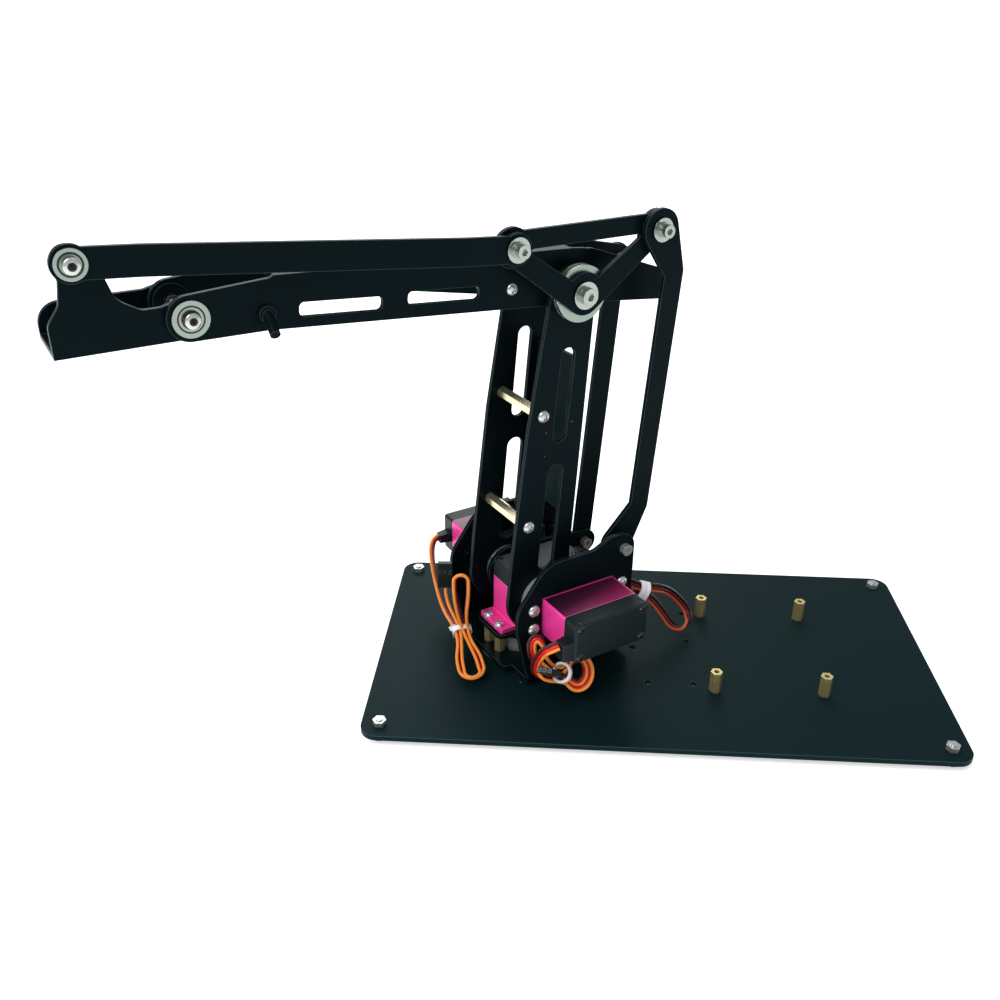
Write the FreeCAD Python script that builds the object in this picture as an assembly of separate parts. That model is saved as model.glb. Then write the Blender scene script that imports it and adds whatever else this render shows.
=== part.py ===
import FreeCAD, Part
import math
import os
from FreeCAD import Vector

# Desktop palletizing arm: three servos drive a sheet-metal arm whose tool bracket
# is kept level by two parallelograms. Millimetres, +Z up, +X along the base plate.
# The origin is on the yaw axis, at the surface that the feet stand on.
# The arm is drawn in its own plane first: u forward, v to its left, z up.

# Base
base_length = 270.0
base_width = 150.0
base_front = 68.7
base_thickness = 2.5
base_corner = 8.0
foot_height = 3.5
foot_diameter = 11.0
foot_bottom = 9.6
foot_inset = 8.5
foot_bolt = 3.0
foot_head = 5.6
foot_head_height = 1.8
foot_head_base = 0.6
bolt_overrun = 0.6
nut_across = 5.5
nut_height = 2.4
board_pitch_x = 51.0
board_pitch_y = 63.5
board_rear = -144.9
board_post_height = 10.7
board_post_across = 5.0
post_thread = 2.5
spare_hole = 3.4
spare_holes = [(-56.8, 0.0), (-62.9, 27.8), (-84.6, 27.8), (-84.6, -7.0), (-84.6, -32.0)]

# Yaw turntable
rest_yaw = 34.5
race_bore = 29.2
race_outer = 39.6
race_height = 1.0
cage_height = 1.96
cage_play = 0.02
cage_recess = 0.2
roller_count = 20
roller_length = 3.6
roller_play = 0.05
pedestal_diameter = 24.0
web_hole = 28.0

# Bracket and deck
sheet = 2.0
flange_reach = 33.5
far_flange_reach = 31.0
bend_radius = 3.0
web_front = 21.0
web_tongue = 19.0
web_corner = 2.0
web_notch = 1.0
flange_top = 27.0
flange_ramp = -18.0
ramp_radius = 8.0
flange_corner = 6.0
flange_nose = [(23.5, -5.0, 12.0), (23.5, 6.0, 16.0), (8.0, 27.0, 14.0)]
link_lobe = 8.0
flange_rear = -41.0
flange_foot = 17.5
deck_post_height = 10.0
deck_post_across = 5.0
deck_front = 18.8
deck_rear = -38.6
deck_half_width = 11.6
deck_corner = 4.0

# Servo
servo_length = 40.0
servo_width = 20.0
cover_height = 9.0
case_height = 22.0
gear_cover_height = 5.5
ear_span = 54.0
ear_thickness = 2.5
ear_pitch = 49.5
ear_pitch_across = 10.0
ear_hole = 4.4
shaft_inset = 10.0
shaft_diameter = 6.0
shaft_play = 0.1
boss_diameter = 13.0
boss_height = 0.6
cover_edge = 1.6
cover_chamfer = 0.6
gear_chamfer = 0.8
ear_corner = 1.0
case_screw_pitch = 34.0
case_screw_pitch_across = 15.0
case_screw_recess = 4.0
case_screw_depth = 2.0
horn_gap = 1.0
horn_diameter = 24.0
horn_thickness = 4.2
cutout_play = 0.5

# Pivots of the arm
shoulder_u = -1.0
shoulder_z = 44.0
upper_length = 146.0
upper_angle = 95.0
fore_length = 158.0
fore_angle = 4.2
rod_offset_u = 35.1
rod_offset_z = 23.5
crank_length = 45.0
crank_angle = 177.2
pivot_bolt = 3.0
running_play = 0.03
open_play = 0.3
face_play = 0.1

# Lower arm
arm_reach = 18.3
arm_foot_radius = 17.5
arm_foot_lead = 1.8
arm_neck = 20.0
arm_neck_radius = 15.9
arm_neck_lead = 3.3
arm_waist = 84.0
arm_waist_radius = 14.3
arm_waist_lead = 3.0
arm_top_radius = 11.2
arm_top_lead = 1.2
slot_low = (19.0, 64.0, 4.2)
slot_high = (82.5, 118.5, 3.6)
slot_lead = 0.6
bridge_low = 42.0
bridge_high = 115.5
bridge_set = 7.1
cross_posts = [(38.8, 12.2), (92.0, 10.3)]
cross_post_across = 5.0
hub_diameter = 12.0
hub_collar = 16.0
crank_horn_diameter = 20.0
hub_bearing_outer = 21.0
hub_bearing_width = 5.0
housing_diameter = 30.0
elbow_bolt = 6.0
elbow_nut = 10.0
elbow_head = 7.2
elbow_head_height = 3.0
elbow_socket = 3.0
thrust_outer = 24.0
thrust_bore = 10.0
thrust_height = 4.0
thrust_race = 1.4
thrust_rim = 1.0
elbow_washer = 11.6
washer_thickness = 1.0

# Forearm
fore_reach = 13.4
wrist_radius = 8.2
fore_belly = -6.4
fore_roof_front = 13.3
fore_roof_rear = 17.0
roof_front = 128.0
roof_rear = 0.5
fore_brow = (130.0, 2.9, 9.3)
fore_shoulder = (-9.0, 16.6)
fore_heel = -12.0
fore_corner = 4.0
tail_root = (-8.0, 5.2, 11.4)
far_belly_rise = 3.4
far_belly_from = 28.0
far_belly_to = 60.0
far_window_lift = 2.4
tail_radius = 6.0
near_tail = 49.5
near_tail_drop = 1.0
near_tail_radius = 6.6
fore_windows = [(86.0, 119.0, -2.4, 2.9), (44.0, 75.5, -1.3, 3.9)]
window_corner = 2.0
bush_sleeve = 8.0
bush_collar = 10.0
brace_along = 28.8
brace_up = 1.7
brace_across = 5.0
wrist_bearing = 12.0
wrist_flange = 13.2
flange_thickness = 1.0
wrist_shim = 0.35
wrist_shim_wall = 1.5
stub_setback = 26.6
stub_diameter = 3.8
stub_collar = 6.0
stub_collar_height = 2.0
stub_root = 1.0
stub_length = 10.0
stub_tilt = 33.0

# Levelling triangle, links and rod
triangle_lobe = 6.2
triangle_eye = 8.0
triangle_hub = 8.5
triangle_bar_low = 22.0
triangle_arm_high = 2.0
triangle_hub_clear = 9.4
window_edge = 1.2
spacer_diameter = 8.0
link_spacer = 12.8
link_reach = 28.0
link_eye = 8.7
link_half_width = 5.0
link_bow = 10.0
link_bow_end = 18.0
far_link_reach = 15.9
far_link_eye = 6.5
far_link_half_width = 5.2
bush_diameter = 7.0
crank_hub_radius = 12.0
crank_eye = 6.6
rod_eye = 6.4
rod_half_width = 5.3
rod_pad = 22.0
rod_front_reach = 14.6
rod_bearing = 8.0
rod_flange = 10.6

# Tool bracket
tool_reach = 10.6
tool_eye = 6.5
tool_floor = -8.0
tool_front = 45.0
tool_rear = 7.0
tool_heel = 3.0
tool_toe = 1.0
tool_nose = [(45.0, 3.5, 5.0), (40.6, 9.5, 4.0), (39.2, 18.0, 0), (25.2, 17.5, 0), (22.5, 9.0, 8.0),
             (15.0, 4.5, 5.0), (3.0, 4.5, 0)]
tool_neck = (8.0, -1.6, 6.1)
tool_arm = (32.2, 17.4, 7.0)
tool_arm_eye = 5.5
tool_hole = 8.0
tool_far_top = 4.6
tool_far_round = 8.0

# Screws on the pivots
small_head = 5.6
small_head_height = 2.2
cap_head = 5.5
cap_head_height = 3.0
cap_socket = 2.5
cap_socket_depth = 1.5
pivot_nut = 5.5
pivot_nut_height = 2.4
pivot_tip = 1.0
pivot_washer = 10.0
lock_washer = 6.6
lock_washer_thickness = 0.9
elbow_nut_height = 3.0

# Servo leads, each a ribbon of three wires; routes are (u, v, z) points in the arm's frame
lead_diameter = 2.0
run_share = 0.45
relief_length = 6.0
relief_width = 5.0
relief_height = 3.6
relief_taper = 0.76
relief_level = 4.5
plug_length = 14.0
plug_width = 7.6
plug_thickness = 2.6
tie_width = 2.6
tie_wall = 0.9
hank_thickness = 4.8
loop_mouth = 0.42
crank_lead_route = [(15.0, -57.5, 44.0), (19.0, -57.5, 43.5), (22.4, -57.1, 40.8), (23.8, -56.4, 36.4),
                    (23.6, -54.8, 30.5), (22.8, -49.8, 22.6), (24.0, -40.0, 16.8), (25.6, -29.5, 14.6),
                    (27.0, -19.5, 14.8), (28.0, -11.0, 16.8)]
crank_tail_route = [(27.2, -27.4, 33.4), (27.2, -27.3, 29.6), (27.2, -25.9, 25.6), (27.4, -22.2, 22.6),
                    (27.7, -17.0, 20.6), (28.0, -11.5, 19.8)]
crank_tie = (28.2, -8.7, 18.0)
crank_tie_room = (10.4, 5.4)
crank_loop_low = (36.0, 12.4, 10.4)
crank_loop_high = (27.8, -9.7, 50.4)
crank_low_end = 7.0
crank_low_strand = 3.4
crank_high_end = 4.4
crank_high_strand = 2.8
crank_waist = 3.0
crank_plug = (27.2, -27.4, 40.4)
shoulder_lead_route = [(15.0, 55.5, 44.0), (18.6, 55.3, 43.6), (21.8, 53.8, 41.9), (23.6, 50.6, 39.2),
                       (23.8, 46.4, 36.0), (22.8, 42.4, 32.4), (21.0, 39.4, 29.2),
                       (18.8, 37.4, 26.8)]
shoulder_tie = (6.9, 47.3, 21.4)
shoulder_tie_room = (6.6, 5.0)
shoulder_coil_way = (-0.589, 0.648, -0.486)
shoulder_coil_reach = 10.5
shoulder_coil_end = 8.0
shoulder_coil_strand = 3.6
shoulder_waist = 3.2
shoulder_plug = (14.1, 51.3, 27.0)
shoulder_plug_way = (0.828, 0.404, 0.401)
shoulder_plug_side = (-0.516, 0.828, 0.230)
yaw_lead_route = [(-36.0, 0.0, 49.5), (-40.4, 0.3, 49.1), (-44.2, 2.8, 47.4), (-47.0, 7.6, 44.8),
                  (-48.8, 14.0, 41.6), (-50.0, 20.4, 38.8), (-52.4, 25.6, 37.0), (-56.6, 28.6, 35.6),
                  (-62.4, 29.6, 33.0), (-69.0, 29.2, 28.6), (-75.6, 29.0, 23.0), (-83.5, 30.8, 16.1),
                  (-84.5, 35.3, 11.2), (-80.2, 40.1, 9.0), (-73.6, 41.0, 10.6), (-69.4, 36.9, 15.5),
                  (-66.2, 33.0, 20.2), (-62.0, 29.8, 25.8), (-57.8, 27.6, 30.6),
                  (-53.2, 25.4, 32.6), (-48.8, 23.4, 30.8), (-44.8, 22.2, 26.4), (-40.8, 22.4, 21.2),
                  (-36.2, 23.4, 16.6), (-31.2, 24.0, 13.4), (-26.0, 24.0, 12.4)]
yaw_tie = (-57.2, 28.2, 33.1)
yaw_tie_room = (7.2, 2.6)
yaw_tie_way = (-0.93, 0.2, -0.3)
yaw_tie_side = (-0.12, -0.2, -0.97)
view_right = (-0.857, 0.515, 0.0)
view_back = (0.459, 0.760, 0.461)

base_top = foot_height + base_thickness
web_bottom = base_top + race_height + cage_height + 2 * cage_play
web_top = web_bottom + sheet
deck_bottom = web_top + deck_post_height
deck_top = deck_bottom + sheet
servo_ear_top = cover_height + case_height
servo_top = servo_ear_top + gear_cover_height
horn_base = servo_top + horn_gap
ear_front = shaft_inset + (ear_pitch - servo_length) / 2
servo_reach = flange_reach - sheet + servo_ear_top - ear_thickness
crank_servo_reach = far_flange_reach + servo_ear_top
yaw_servo_top = deck_top + servo_ear_top
arm_inner = arm_reach - sheet
fore_inner = fore_reach - sheet
tool_inner = tool_reach - sheet
tool_far_in = fore_reach + flange_thickness + face_play + wrist_shim
tool_far_reach = tool_far_in + sheet
stub_along = fore_length - stub_setback
triangle_in = arm_reach + thrust_height + face_play
triangle_out = triangle_in + sheet
link_in = link_reach - sheet
flange_in = flange_reach - sheet
far_link_in = far_link_reach - sheet
pin = pivot_bolt / 2


def polar(start, length, angle):
    turn = math.radians(angle)
    return (start[0] + length * math.cos(turn), start[1] + length * math.sin(turn))


def shifted(start, du, dz):
    return (start[0] + du, start[1] + dz)


shoulder = (shoulder_u, shoulder_z)
elbow = polar(shoulder, upper_length, upper_angle)
wrist = polar(elbow, fore_length, fore_angle)
rod_rear = shifted(elbow, rod_offset_u, rod_offset_z)
tool_pivot = shifted(wrist, rod_offset_u, rod_offset_z)
link_top = shifted(elbow, -rod_offset_u, rod_offset_z)
link_foot = shifted(shoulder, -rod_offset_u, rod_offset_z)
crank_end = polar(shoulder, crank_length, crank_angle)
tail_end = polar(elbow, crank_length, crank_angle)
nodes = {}


def side(x, z):
    return Vector(x, 0, z)


def flat(x, y):
    return Vector(x, y, 0)


def rounded(corners, plane):
    """Closed outline through (x, y, radius) corners, each rounded by its own arc."""
    edges = []
    starts = []
    ends = []
    mids = []
    count = len(corners)
    for i, (x, y, radius) in enumerate(corners):
        ax, ay, _ = corners[i - 1]
        bx, by, _ = corners[(i + 1) % count]
        point = FreeCAD.Vector(x, y, 0)
        back = (FreeCAD.Vector(ax, ay, 0) - point).normalize()
        ahead = (FreeCAD.Vector(bx, by, 0) - point).normalize()
        half = back.getAngle(ahead) / 2
        reach = radius / math.tan(half)
        centre_way = (back + ahead).normalize() if radius else Vector(0, 0, 0)
        starts.append(point + back * reach)
        ends.append(point + ahead * reach)
        mids.append(point + centre_way * (radius / math.sin(half) - radius))
    for i in range(count):
        a, m, b = (plane(p.x, p.y) for p in (starts[i], mids[i], ends[i]))
        if corners[i][2]:
            edges.append(Part.Arc(a, m, b).toShape())
        after = starts[(i + 1) % count]
        edges.append(Part.makeLine(b, plane(after.x, after.y)))
    return Part.Face(Part.Wire(edges))


def belt(circles, plane=side):
    """Outline of a band drawn tight round (x, y, radius) circles, counter-clockwise."""
    count = len(circles)
    normals = []
    for i in range(count):
        x1, y1, r1 = circles[i]
        x2, y2, r2 = circles[(i + 1) % count]
        span = math.hypot(x2 - x1, y2 - y1)
        heading = math.atan2(y2 - y1, x2 - x1)
        normals.append(heading - math.pi / 2 + math.asin((r1 - r2) / span))
    edges = []
    for i, (x, y, r) in enumerate(circles):
        start = normals[i - 1]
        turn = (normals[i] - start) % (2 * math.pi)
        a, m, b = (plane(x + r * math.cos(w), y + r * math.sin(w))
                   for w in (start, start + turn / 2, start + turn))
        edges.append(Part.Arc(a, m, b).toShape())
        x2, y2, r2 = circles[(i + 1) % count]
        leave = plane(x2 + r2 * math.cos(normals[i]), y2 + r2 * math.sin(normals[i]))
        edges.append(Part.makeLine(b, leave))
    return Part.Face(Part.Wire(edges))


def across(face, v0, v1):
    solid = face.extrude(Vector(0, v1 - v0, 0))
    solid.translate(Vector(0, v0, 0))
    return solid


def upright(face, z0, z1):
    solid = face.extrude(Vector(0, 0, z1 - z0))
    solid.translate(Vector(0, 0, z0))
    return solid


def fused(shapes):
    return shapes[0].multiFuse(shapes[1:]).removeSplitter()


def group(shapes):
    return Part.makeCompound(shapes)


def pin_across(point, radius, v0, v1):
    low, high = sorted((v0, v1))
    return Part.makeCylinder(radius, high - low, Vector(point[0], low, point[1]), Vector(0, 1, 0))


def ring_across(point, outer, inner, v0, v1):
    return pin_across(point, outer, v0, v1).cut(pin_across(point, inner, v0 - 1, v1 + 1))


def pin_up(x, y, radius, z0, z1):
    return Part.makeCylinder(radius, z1 - z0, Vector(x, y, z0))


def ring_up(x, y, outer, inner, z0, z1):
    return pin_up(x, y, outer, z0, z1).cut(pin_up(x, y, inner, z0 - 1, z1 + 1))


def hex_up(x, y, flats, z0, z1):
    reach = flats / math.sqrt(3)
    corners = [Vector(x + reach * math.cos(math.pi * k / 3), y + reach * math.sin(math.pi * k / 3), z0)
               for k in range(7)]
    return Part.Face(Part.makePolygon(corners)).extrude(Vector(0, 0, z1 - z0))


def hex_across(point, flats, v0, v1):
    low, high = sorted((v0, v1))
    bar = hex_up(0, 0, flats, 0, high - low)
    bar.rotate(Vector(0, 0, 0), Vector(1, 0, 0), -90)
    bar.translate(Vector(point[0], low, point[1]))
    return bar


def stand(shape, pivot, angle):
    """Turn a piece drawn along +x to its angle in the arm's plane and set it on its pivot."""
    placed = shape.copy()
    placed.rotate(Vector(0, 0, 0), Vector(0, -1, 0), angle)
    placed.translate(Vector(pivot[0], 0, pivot[1]))
    return placed


def add(name, shape):
    nodes[name] = shape


def add_turned(name, shape):
    """Store a piece of the turntable or arm at the yaw that it rests at."""
    turned = shape.copy()
    turned.rotate(Vector(0, 0, 0), Vector(0, 0, 1), rest_yaw)
    nodes[name] = turned


def base_rectangle(inset):
    rear = base_front - base_length
    half = base_width / 2 - inset
    front = base_front - inset
    return [(front, half), (rear + inset, half), (rear + inset, -half), (front, -half)]


def board_points():
    return [(board_rear + i * board_pitch_x, (j - 0.5) * board_pitch_y) for i in (0, 1) for j in (0, 1)]


def base_plate():
    corners = [(x, y, base_corner) for x, y in base_rectangle(0.0)]
    plate = upright(rounded(corners, flat), foot_height, base_top)
    holes = [(x, y, foot_bolt / 2) for x, y in base_rectangle(foot_inset)]
    holes += [(x, y, post_thread / 2) for x, y in board_points()]
    holes += [(x, y, spare_hole / 2) for x, y in spare_holes]
    return plate.cut([pin_up(x, y, r, 0, base_top + 1) for x, y, r in holes])


def rubber_foot(x, y):
    foot = Part.makeCone(foot_bottom / 2, foot_diameter / 2, foot_height, Vector(x, y, 0))
    head = pin_up(x, y, foot_head / 2, -1, foot_head_base + foot_head_height)
    return foot.cut([head, pin_up(x, y, foot_bolt / 2, 0, foot_height + 1)])


def foot_screw(x, y):
    head = pin_up(x, y, foot_head / 2, foot_head_base, foot_head_base + foot_head_height)
    shank = pin_up(x, y, foot_bolt / 2, foot_head_base, base_top + nut_height + bolt_overrun)
    return fused([head, shank, hex_up(x, y, nut_across, base_top, base_top + nut_height)])


def board_post(x, y):
    post = hex_up(x, y, board_post_across, base_top, base_top + board_post_height)
    return post.cut(pin_up(x, y, post_thread / 2, base_top - 1, base_top + board_post_height + 1))


def needle_cage():
    low = base_top + race_height + cage_play
    cage = ring_up(0, 0, race_outer / 2, race_bore / 2, low + cage_recess, low + cage_height - cage_recess)
    middle = (race_outer + race_bore) / 4
    slots = []
    rollers = []
    for k in range(roller_count):
        start = Vector(middle - roller_length / 2, 0, low + cage_height / 2)
        roller = Part.makeCylinder(cage_height / 2, roller_length, start, Vector(1, 0, 0))
        room = Part.makeBox(roller_length + 2 * roller_play, cage_height + 2 * roller_play, cage_height,
                            Vector(start.x - roller_play, -cage_height / 2 - roller_play, low))
        for shape, store in ((roller, rollers), (room, slots)):
            shape.rotate(Vector(0, 0, 0), Vector(0, 0, 1), 360.0 * k / roller_count)
            store.append(shape)
    add("turntable_rollers", group([cage.cut(slots)] + rollers))


def build_base():
    add("base_plate", base_plate())
    add("rubber_feet", group([rubber_foot(x, y) for x, y in base_rectangle(foot_inset)]))
    add("foot_bolts", group([foot_screw(x, y) for x, y in base_rectangle(foot_inset)]))
    add("board_standoffs", group([board_post(x, y) for x, y in board_points()]))
    add("turntable_race", ring_up(0, 0, race_outer / 2, race_bore / 2, base_top, base_top + race_height))
    needle_cage()
    horn_low = yaw_servo_top - horn_base - horn_thickness
    add("yaw_pedestal", pin_up(0, 0, pedestal_diameter / 2, base_top, horn_low))
    bore = shaft_diameter / 2
    add("yaw_horn", ring_up(0, 0, horn_diameter / 2, bore, horn_low, horn_low + horn_thickness))


def servo_pieces():
    """Bottom cover, case, gear cover and output shaft, drawn along +z with the shaft at the origin."""
    rear = shaft_inset - servo_length
    half = servo_width / 2
    ends = ((shaft_inset, half), (rear, half), (rear, -half), (shaft_inset, -half))
    block = [(x, y, cover_edge) for x, y in ends]
    middle = shaft_inset - servo_length / 2
    cover = upright(rounded(block, flat), 0, cover_height)
    cover = cover.makeChamfer(cover_chamfer, [e for e in cover.Edges if e.BoundBox.ZMax < 0.01])
    spots = [(middle + i * case_screw_pitch / 2, j * case_screw_pitch_across / 2)
             for i in (-1, 1) for j in (-1, 1)]
    cover = cover.cut([pin_up(x, y, case_screw_recess / 2, -1, case_screw_depth) for x, y in spots])
    signs = ((1, 1), (-1, 1), (-1, -1), (1, -1))
    ears = [(middle + i * ear_span / 2, j * half, ear_corner) for i, j in signs]
    case = fused([upright(rounded(block, flat), cover_height, servo_ear_top),
                  upright(rounded(ears, flat), servo_ear_top - ear_thickness, servo_ear_top)])
    ear_spots = [(middle + i * ear_pitch / 2, j * ear_pitch_across / 2) for i in (-1, 1) for j in (-1, 1)]
    case = case.cut([pin_up(x, y, ear_hole / 2, cover_height, servo_top) for x, y in ear_spots])
    gear = upright(rounded(block, flat), servo_ear_top, servo_top)
    gear = gear.makeChamfer(gear_chamfer, [e for e in gear.Edges if e.BoundBox.ZMin > servo_top - 0.01])
    gear = gear.fuse(pin_up(0, 0, boss_diameter / 2, servo_top - 1, servo_top + boss_height))
    gear = gear.cut(pin_up(0, 0, shaft_diameter / 2 + shaft_play, servo_ear_top, servo_top + 2))
    shaft = pin_up(0, 0, shaft_diameter / 2, servo_ear_top + shaft_play, horn_base + horn_thickness)
    return {"bottom_cover": cover, "case": case, "gear_cover": gear.removeSplitter(), "shaft": shaft}


def lead_relief(at_shaft_end):
    """Moulded strain relief on one end of the bottom cover, tapering outwards."""
    foot = shaft_inset if at_shaft_end else shaft_inset - servo_length
    way = 1 if at_shaft_end else -1
    wires = []
    for reach, share in ((0.0, 1.0), (relief_length, relief_taper)):
        w, h = relief_width * share / 2, relief_height * share / 2
        x = foot + way * reach
        signs = ((1, 1), (-1, 1), (-1, -1), (1, -1), (1, 1))
        wires.append(Part.makePolygon([Vector(x, a * w, relief_level + b * h) for a, b in signs]))
    return Part.makeLoft(wires, True)


def turned_servo(shape, roll, origin):
    placed = shape.copy()
    placed.rotate(Vector(0, 0, 0), Vector(1, 0, 0), roll)
    placed.translate(origin)
    return placed


def place_servos():
    reliefs = []
    for name, roll, origin, lead_in_front in (
            ("yaw", 180, Vector(0, 0, yaw_servo_top), False),
            ("shoulder", 90, Vector(shoulder_u, servo_reach, shoulder_z), True),
            ("crank", -90, Vector(shoulder_u, -crank_servo_reach, shoulder_z), True)):
        for piece, shape in servo_pieces().items():
            add_turned(name + "_servo_" + piece, turned_servo(shape, roll, origin))
        reliefs.append(turned_servo(lead_relief(lead_in_front), roll, origin))
    add_turned("lead_reliefs", group(reliefs))


def flange_outline(with_lobe):
    """Flange seen from the side, about the shoulder: servo end in front, link pivot behind."""
    low = web_bottom + bend_radius - shoulder_z
    lift = rod_offset_z + link_lobe
    rear_top = [(flange_rear, flange_top, flange_corner)]
    if with_lobe:
        rear_top = [(flange_ramp, flange_top, ramp_radius), (link_lobe - rod_offset_u, lift, flange_corner),
                    (flange_rear, lift, link_lobe)]
    corners = [(flange_rear, low, 0), (flange_foot, low, 0)] + flange_nose
    return rounded(corners + rear_top, side)


def flange(sign):
    face = flange_outline(sign > 0)
    reach = flange_reach if sign > 0 else far_flange_reach
    middle = sign * (reach - sheet / 2)
    plate = across(face, middle - sheet / 2, middle + sheet / 2)
    rear = shaft_inset - servo_length - cutout_play
    room = Part.makeBox(servo_length + 2 * cutout_play, 4 * sheet, servo_width + 2 * cutout_play)
    room.translate(Vector(rear, middle - 2 * sheet, -servo_width / 2 - cutout_play))
    holes = [room]
    for i in (0, 1):
        for j in (-1, 1):
            spot = (ear_front - i * ear_pitch, j * ear_pitch_across / 2)
            holes.append(pin_across(spot, ear_hole / 2, middle - sheet, middle + sheet))
    if sign > 0:
        holes.append(pin_across((-rod_offset_u, rod_offset_z), pin, flange_in - 1, flange_reach + 1))
    plate = plate.cut(holes)
    plate.translate(Vector(shoulder_u, 0, shoulder_z))
    return plate


def bend(sign):
    """Quarter bend between the web and one flange, as long as the flange's foot."""
    reach = flange_reach if sign > 0 else far_flange_reach
    start = shoulder_u + flange_rear
    length = flange_foot - flange_rear
    centre = Vector(start, sign * (reach - bend_radius), web_bottom + bend_radius)
    tube = Part.makeCylinder(bend_radius, length, centre, Vector(1, 0, 0))
    tube = tube.cut(Part.makeCylinder(bend_radius - sheet, length, centre, Vector(1, 0, 0)))
    low = min(0, sign * bend_radius)
    corner = Part.makeBox(length, bend_radius, bend_radius, centre + Vector(0, low, -bend_radius))
    return tube.common(corner)


def turntable_bracket():
    step = shoulder_u + flange_foot
    rear = shoulder_u + flange_rear
    near_v, far_v = flange_reach - bend_radius, bend_radius - far_flange_reach
    corners = [(web_front, web_tongue, web_corner), (step, web_tongue, web_notch), (step, near_v, 0),
               (rear, near_v, 0), (rear, far_v, 0), (step, far_v, 0), (step, -web_tongue, web_notch),
               (web_front, -web_tongue, web_corner)]
    web = upright(rounded(corners, flat), web_bottom, web_top)
    bracket = fused([web, flange(1), flange(-1), bend(1), bend(-1)])
    posts = [pin_up(x, y, post_thread / 2, 0, deck_top) for x, y in deck_points()]
    return bracket.cut(posts + [pin_up(0, 0, web_hole / 2, 0, deck_bottom)])


def deck_points():
    return [(ear_front - i * ear_pitch, j * ear_pitch_across / 2) for i in (0, 1) for j in (-1, 1)]


def deck_plate():
    """Two small plates under the ears of the yaw servo, one in front of its body and one behind."""
    half = deck_half_width
    front_in = shaft_inset + cutout_play
    rear_in = shaft_inset - servo_length - cutout_play
    plates = [[(out, half, deck_corner), (inner, half, 0), (inner, -half, 0), (out, -half, deck_corner)]
              for out, inner in ((deck_front, front_in), (deck_rear, rear_in))]
    bores = [pin_up(x, y, post_thread / 2, deck_bottom - 1, deck_top + 1) for x, y in deck_points()]
    return group([upright(rounded(corners, flat), deck_bottom, deck_top).cut(bores) for corners in plates])


def deck_post(x, y):
    post = hex_up(x, y, deck_post_across, web_top, deck_bottom)
    return post.cut(pin_up(x, y, post_thread / 2, web_top - 1, deck_bottom + 1))


def build_turntable():
    add_turned("turntable_bracket", turntable_bracket())
    add_turned("deck_plate", deck_plate())
    add_turned("deck_standoffs", group([deck_post(x, y) for x, y in deck_points()]))
    place_servos()
    screw = cap_screw(link_foot, link_in - pivot_nut_height - pivot_tip, flange_reach)
    nut = hex_across(link_foot, pivot_nut, link_in - face_play - pivot_nut_height, link_in - face_play)
    spacer = ring_across(link_foot, spacer_diameter / 2, pin, link_reach + face_play, flange_in)
    add_turned("link_foot_pivot", group([fused([screw, nut]), spacer]))


def cap_screw(point, tip, seat):
    """Socket-head screw along the pivots' direction, from its tip to the face its head sits on."""
    way = 1 if seat > tip else -1
    top = seat + way * cap_head_height
    head = pin_across(point, cap_head / 2, *sorted((seat, top)))
    socket = hex_across(point, cap_socket, *sorted((top - way * cap_socket_depth, top + way)))
    return fused([pin_across(point, pin, *sorted((tip, seat))), head]).cut(socket)


def arm_outline():
    """Plate from the shoulder to the elbow, along +x, with its front edge at -z."""
    foot = (0, -arm_foot_lead, arm_foot_radius)
    neck = (arm_neck, -arm_neck_lead, arm_neck_radius)
    waist = (arm_waist, -arm_waist_lead, arm_waist_radius)
    top = (upper_length, -arm_top_lead, arm_top_radius)
    return belt([foot, neck]), belt([neck, waist, top])


def arm_plate(v0, v1, shoulder_hole):
    plate = fused([across(face, v0, v1) for face in arm_outline()])
    low, high = min(v0, v1) - 1, max(v0, v1) + 1
    slots = [belt([(a, -slot_lead, r), (b, -slot_lead, r)]) for a, b, r in (slot_low, slot_high)]
    cuts = [across(slot, low, high) for slot in slots]
    cuts.append(pin_across((0, 0), shoulder_hole, low, high))
    cuts.append(pin_across((upper_length, 0), elbow_bolt / 2, low, high))
    cuts += [pin_across((along, -lead), post_thread / 2, low, high) for along, lead in cross_posts]
    return stand(plate.cut(cuts), shoulder, upper_angle)


def arm_bridge():
    """Cross plate between the arm's two plates, behind their slots."""
    back = bridge_set + sheet
    strip = [(bridge_high, back, 0), (bridge_low, back, 0), (bridge_low, bridge_set, 0),
             (bridge_high, bridge_set, 0)]
    return stand(across(rounded(strip, side), -arm_inner, arm_inner), shoulder, upper_angle)


def cross_post(along, lead):
    post = hex_across((along, -lead), cross_post_across, -arm_inner, arm_inner)
    bore = pin_across((along, -lead), post_thread / 2, -arm_reach, arm_reach)
    return stand(post.cut(bore), shoulder, upper_angle)


def elbow_bolt_piece():
    head = triangle_out + face_play + washer_thickness
    shank = pin_across(elbow, elbow_bolt / 2, -arm_reach - elbow_nut_height - pivot_tip, head)
    cap = pin_across(elbow, elbow_head / 2, head, head + elbow_head_height)
    socket = hex_across(elbow, elbow_socket, head + elbow_head_height / 2, head + 2 * elbow_head_height)
    return fused([shank, cap]).cut(socket)


def elbow_thrust():
    outer, bore = thrust_outer / 2, thrust_bore / 2
    near = ring_across(elbow, outer, bore, arm_reach, arm_reach + thrust_race)
    cage = ring_across(elbow, outer - thrust_rim, bore + thrust_rim, arm_reach + thrust_race,
                       arm_reach + thrust_height - thrust_race)
    far = ring_across(elbow, outer, bore, arm_reach + thrust_height - thrust_race, arm_reach + thrust_height)
    return group([near, cage, far])


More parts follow.
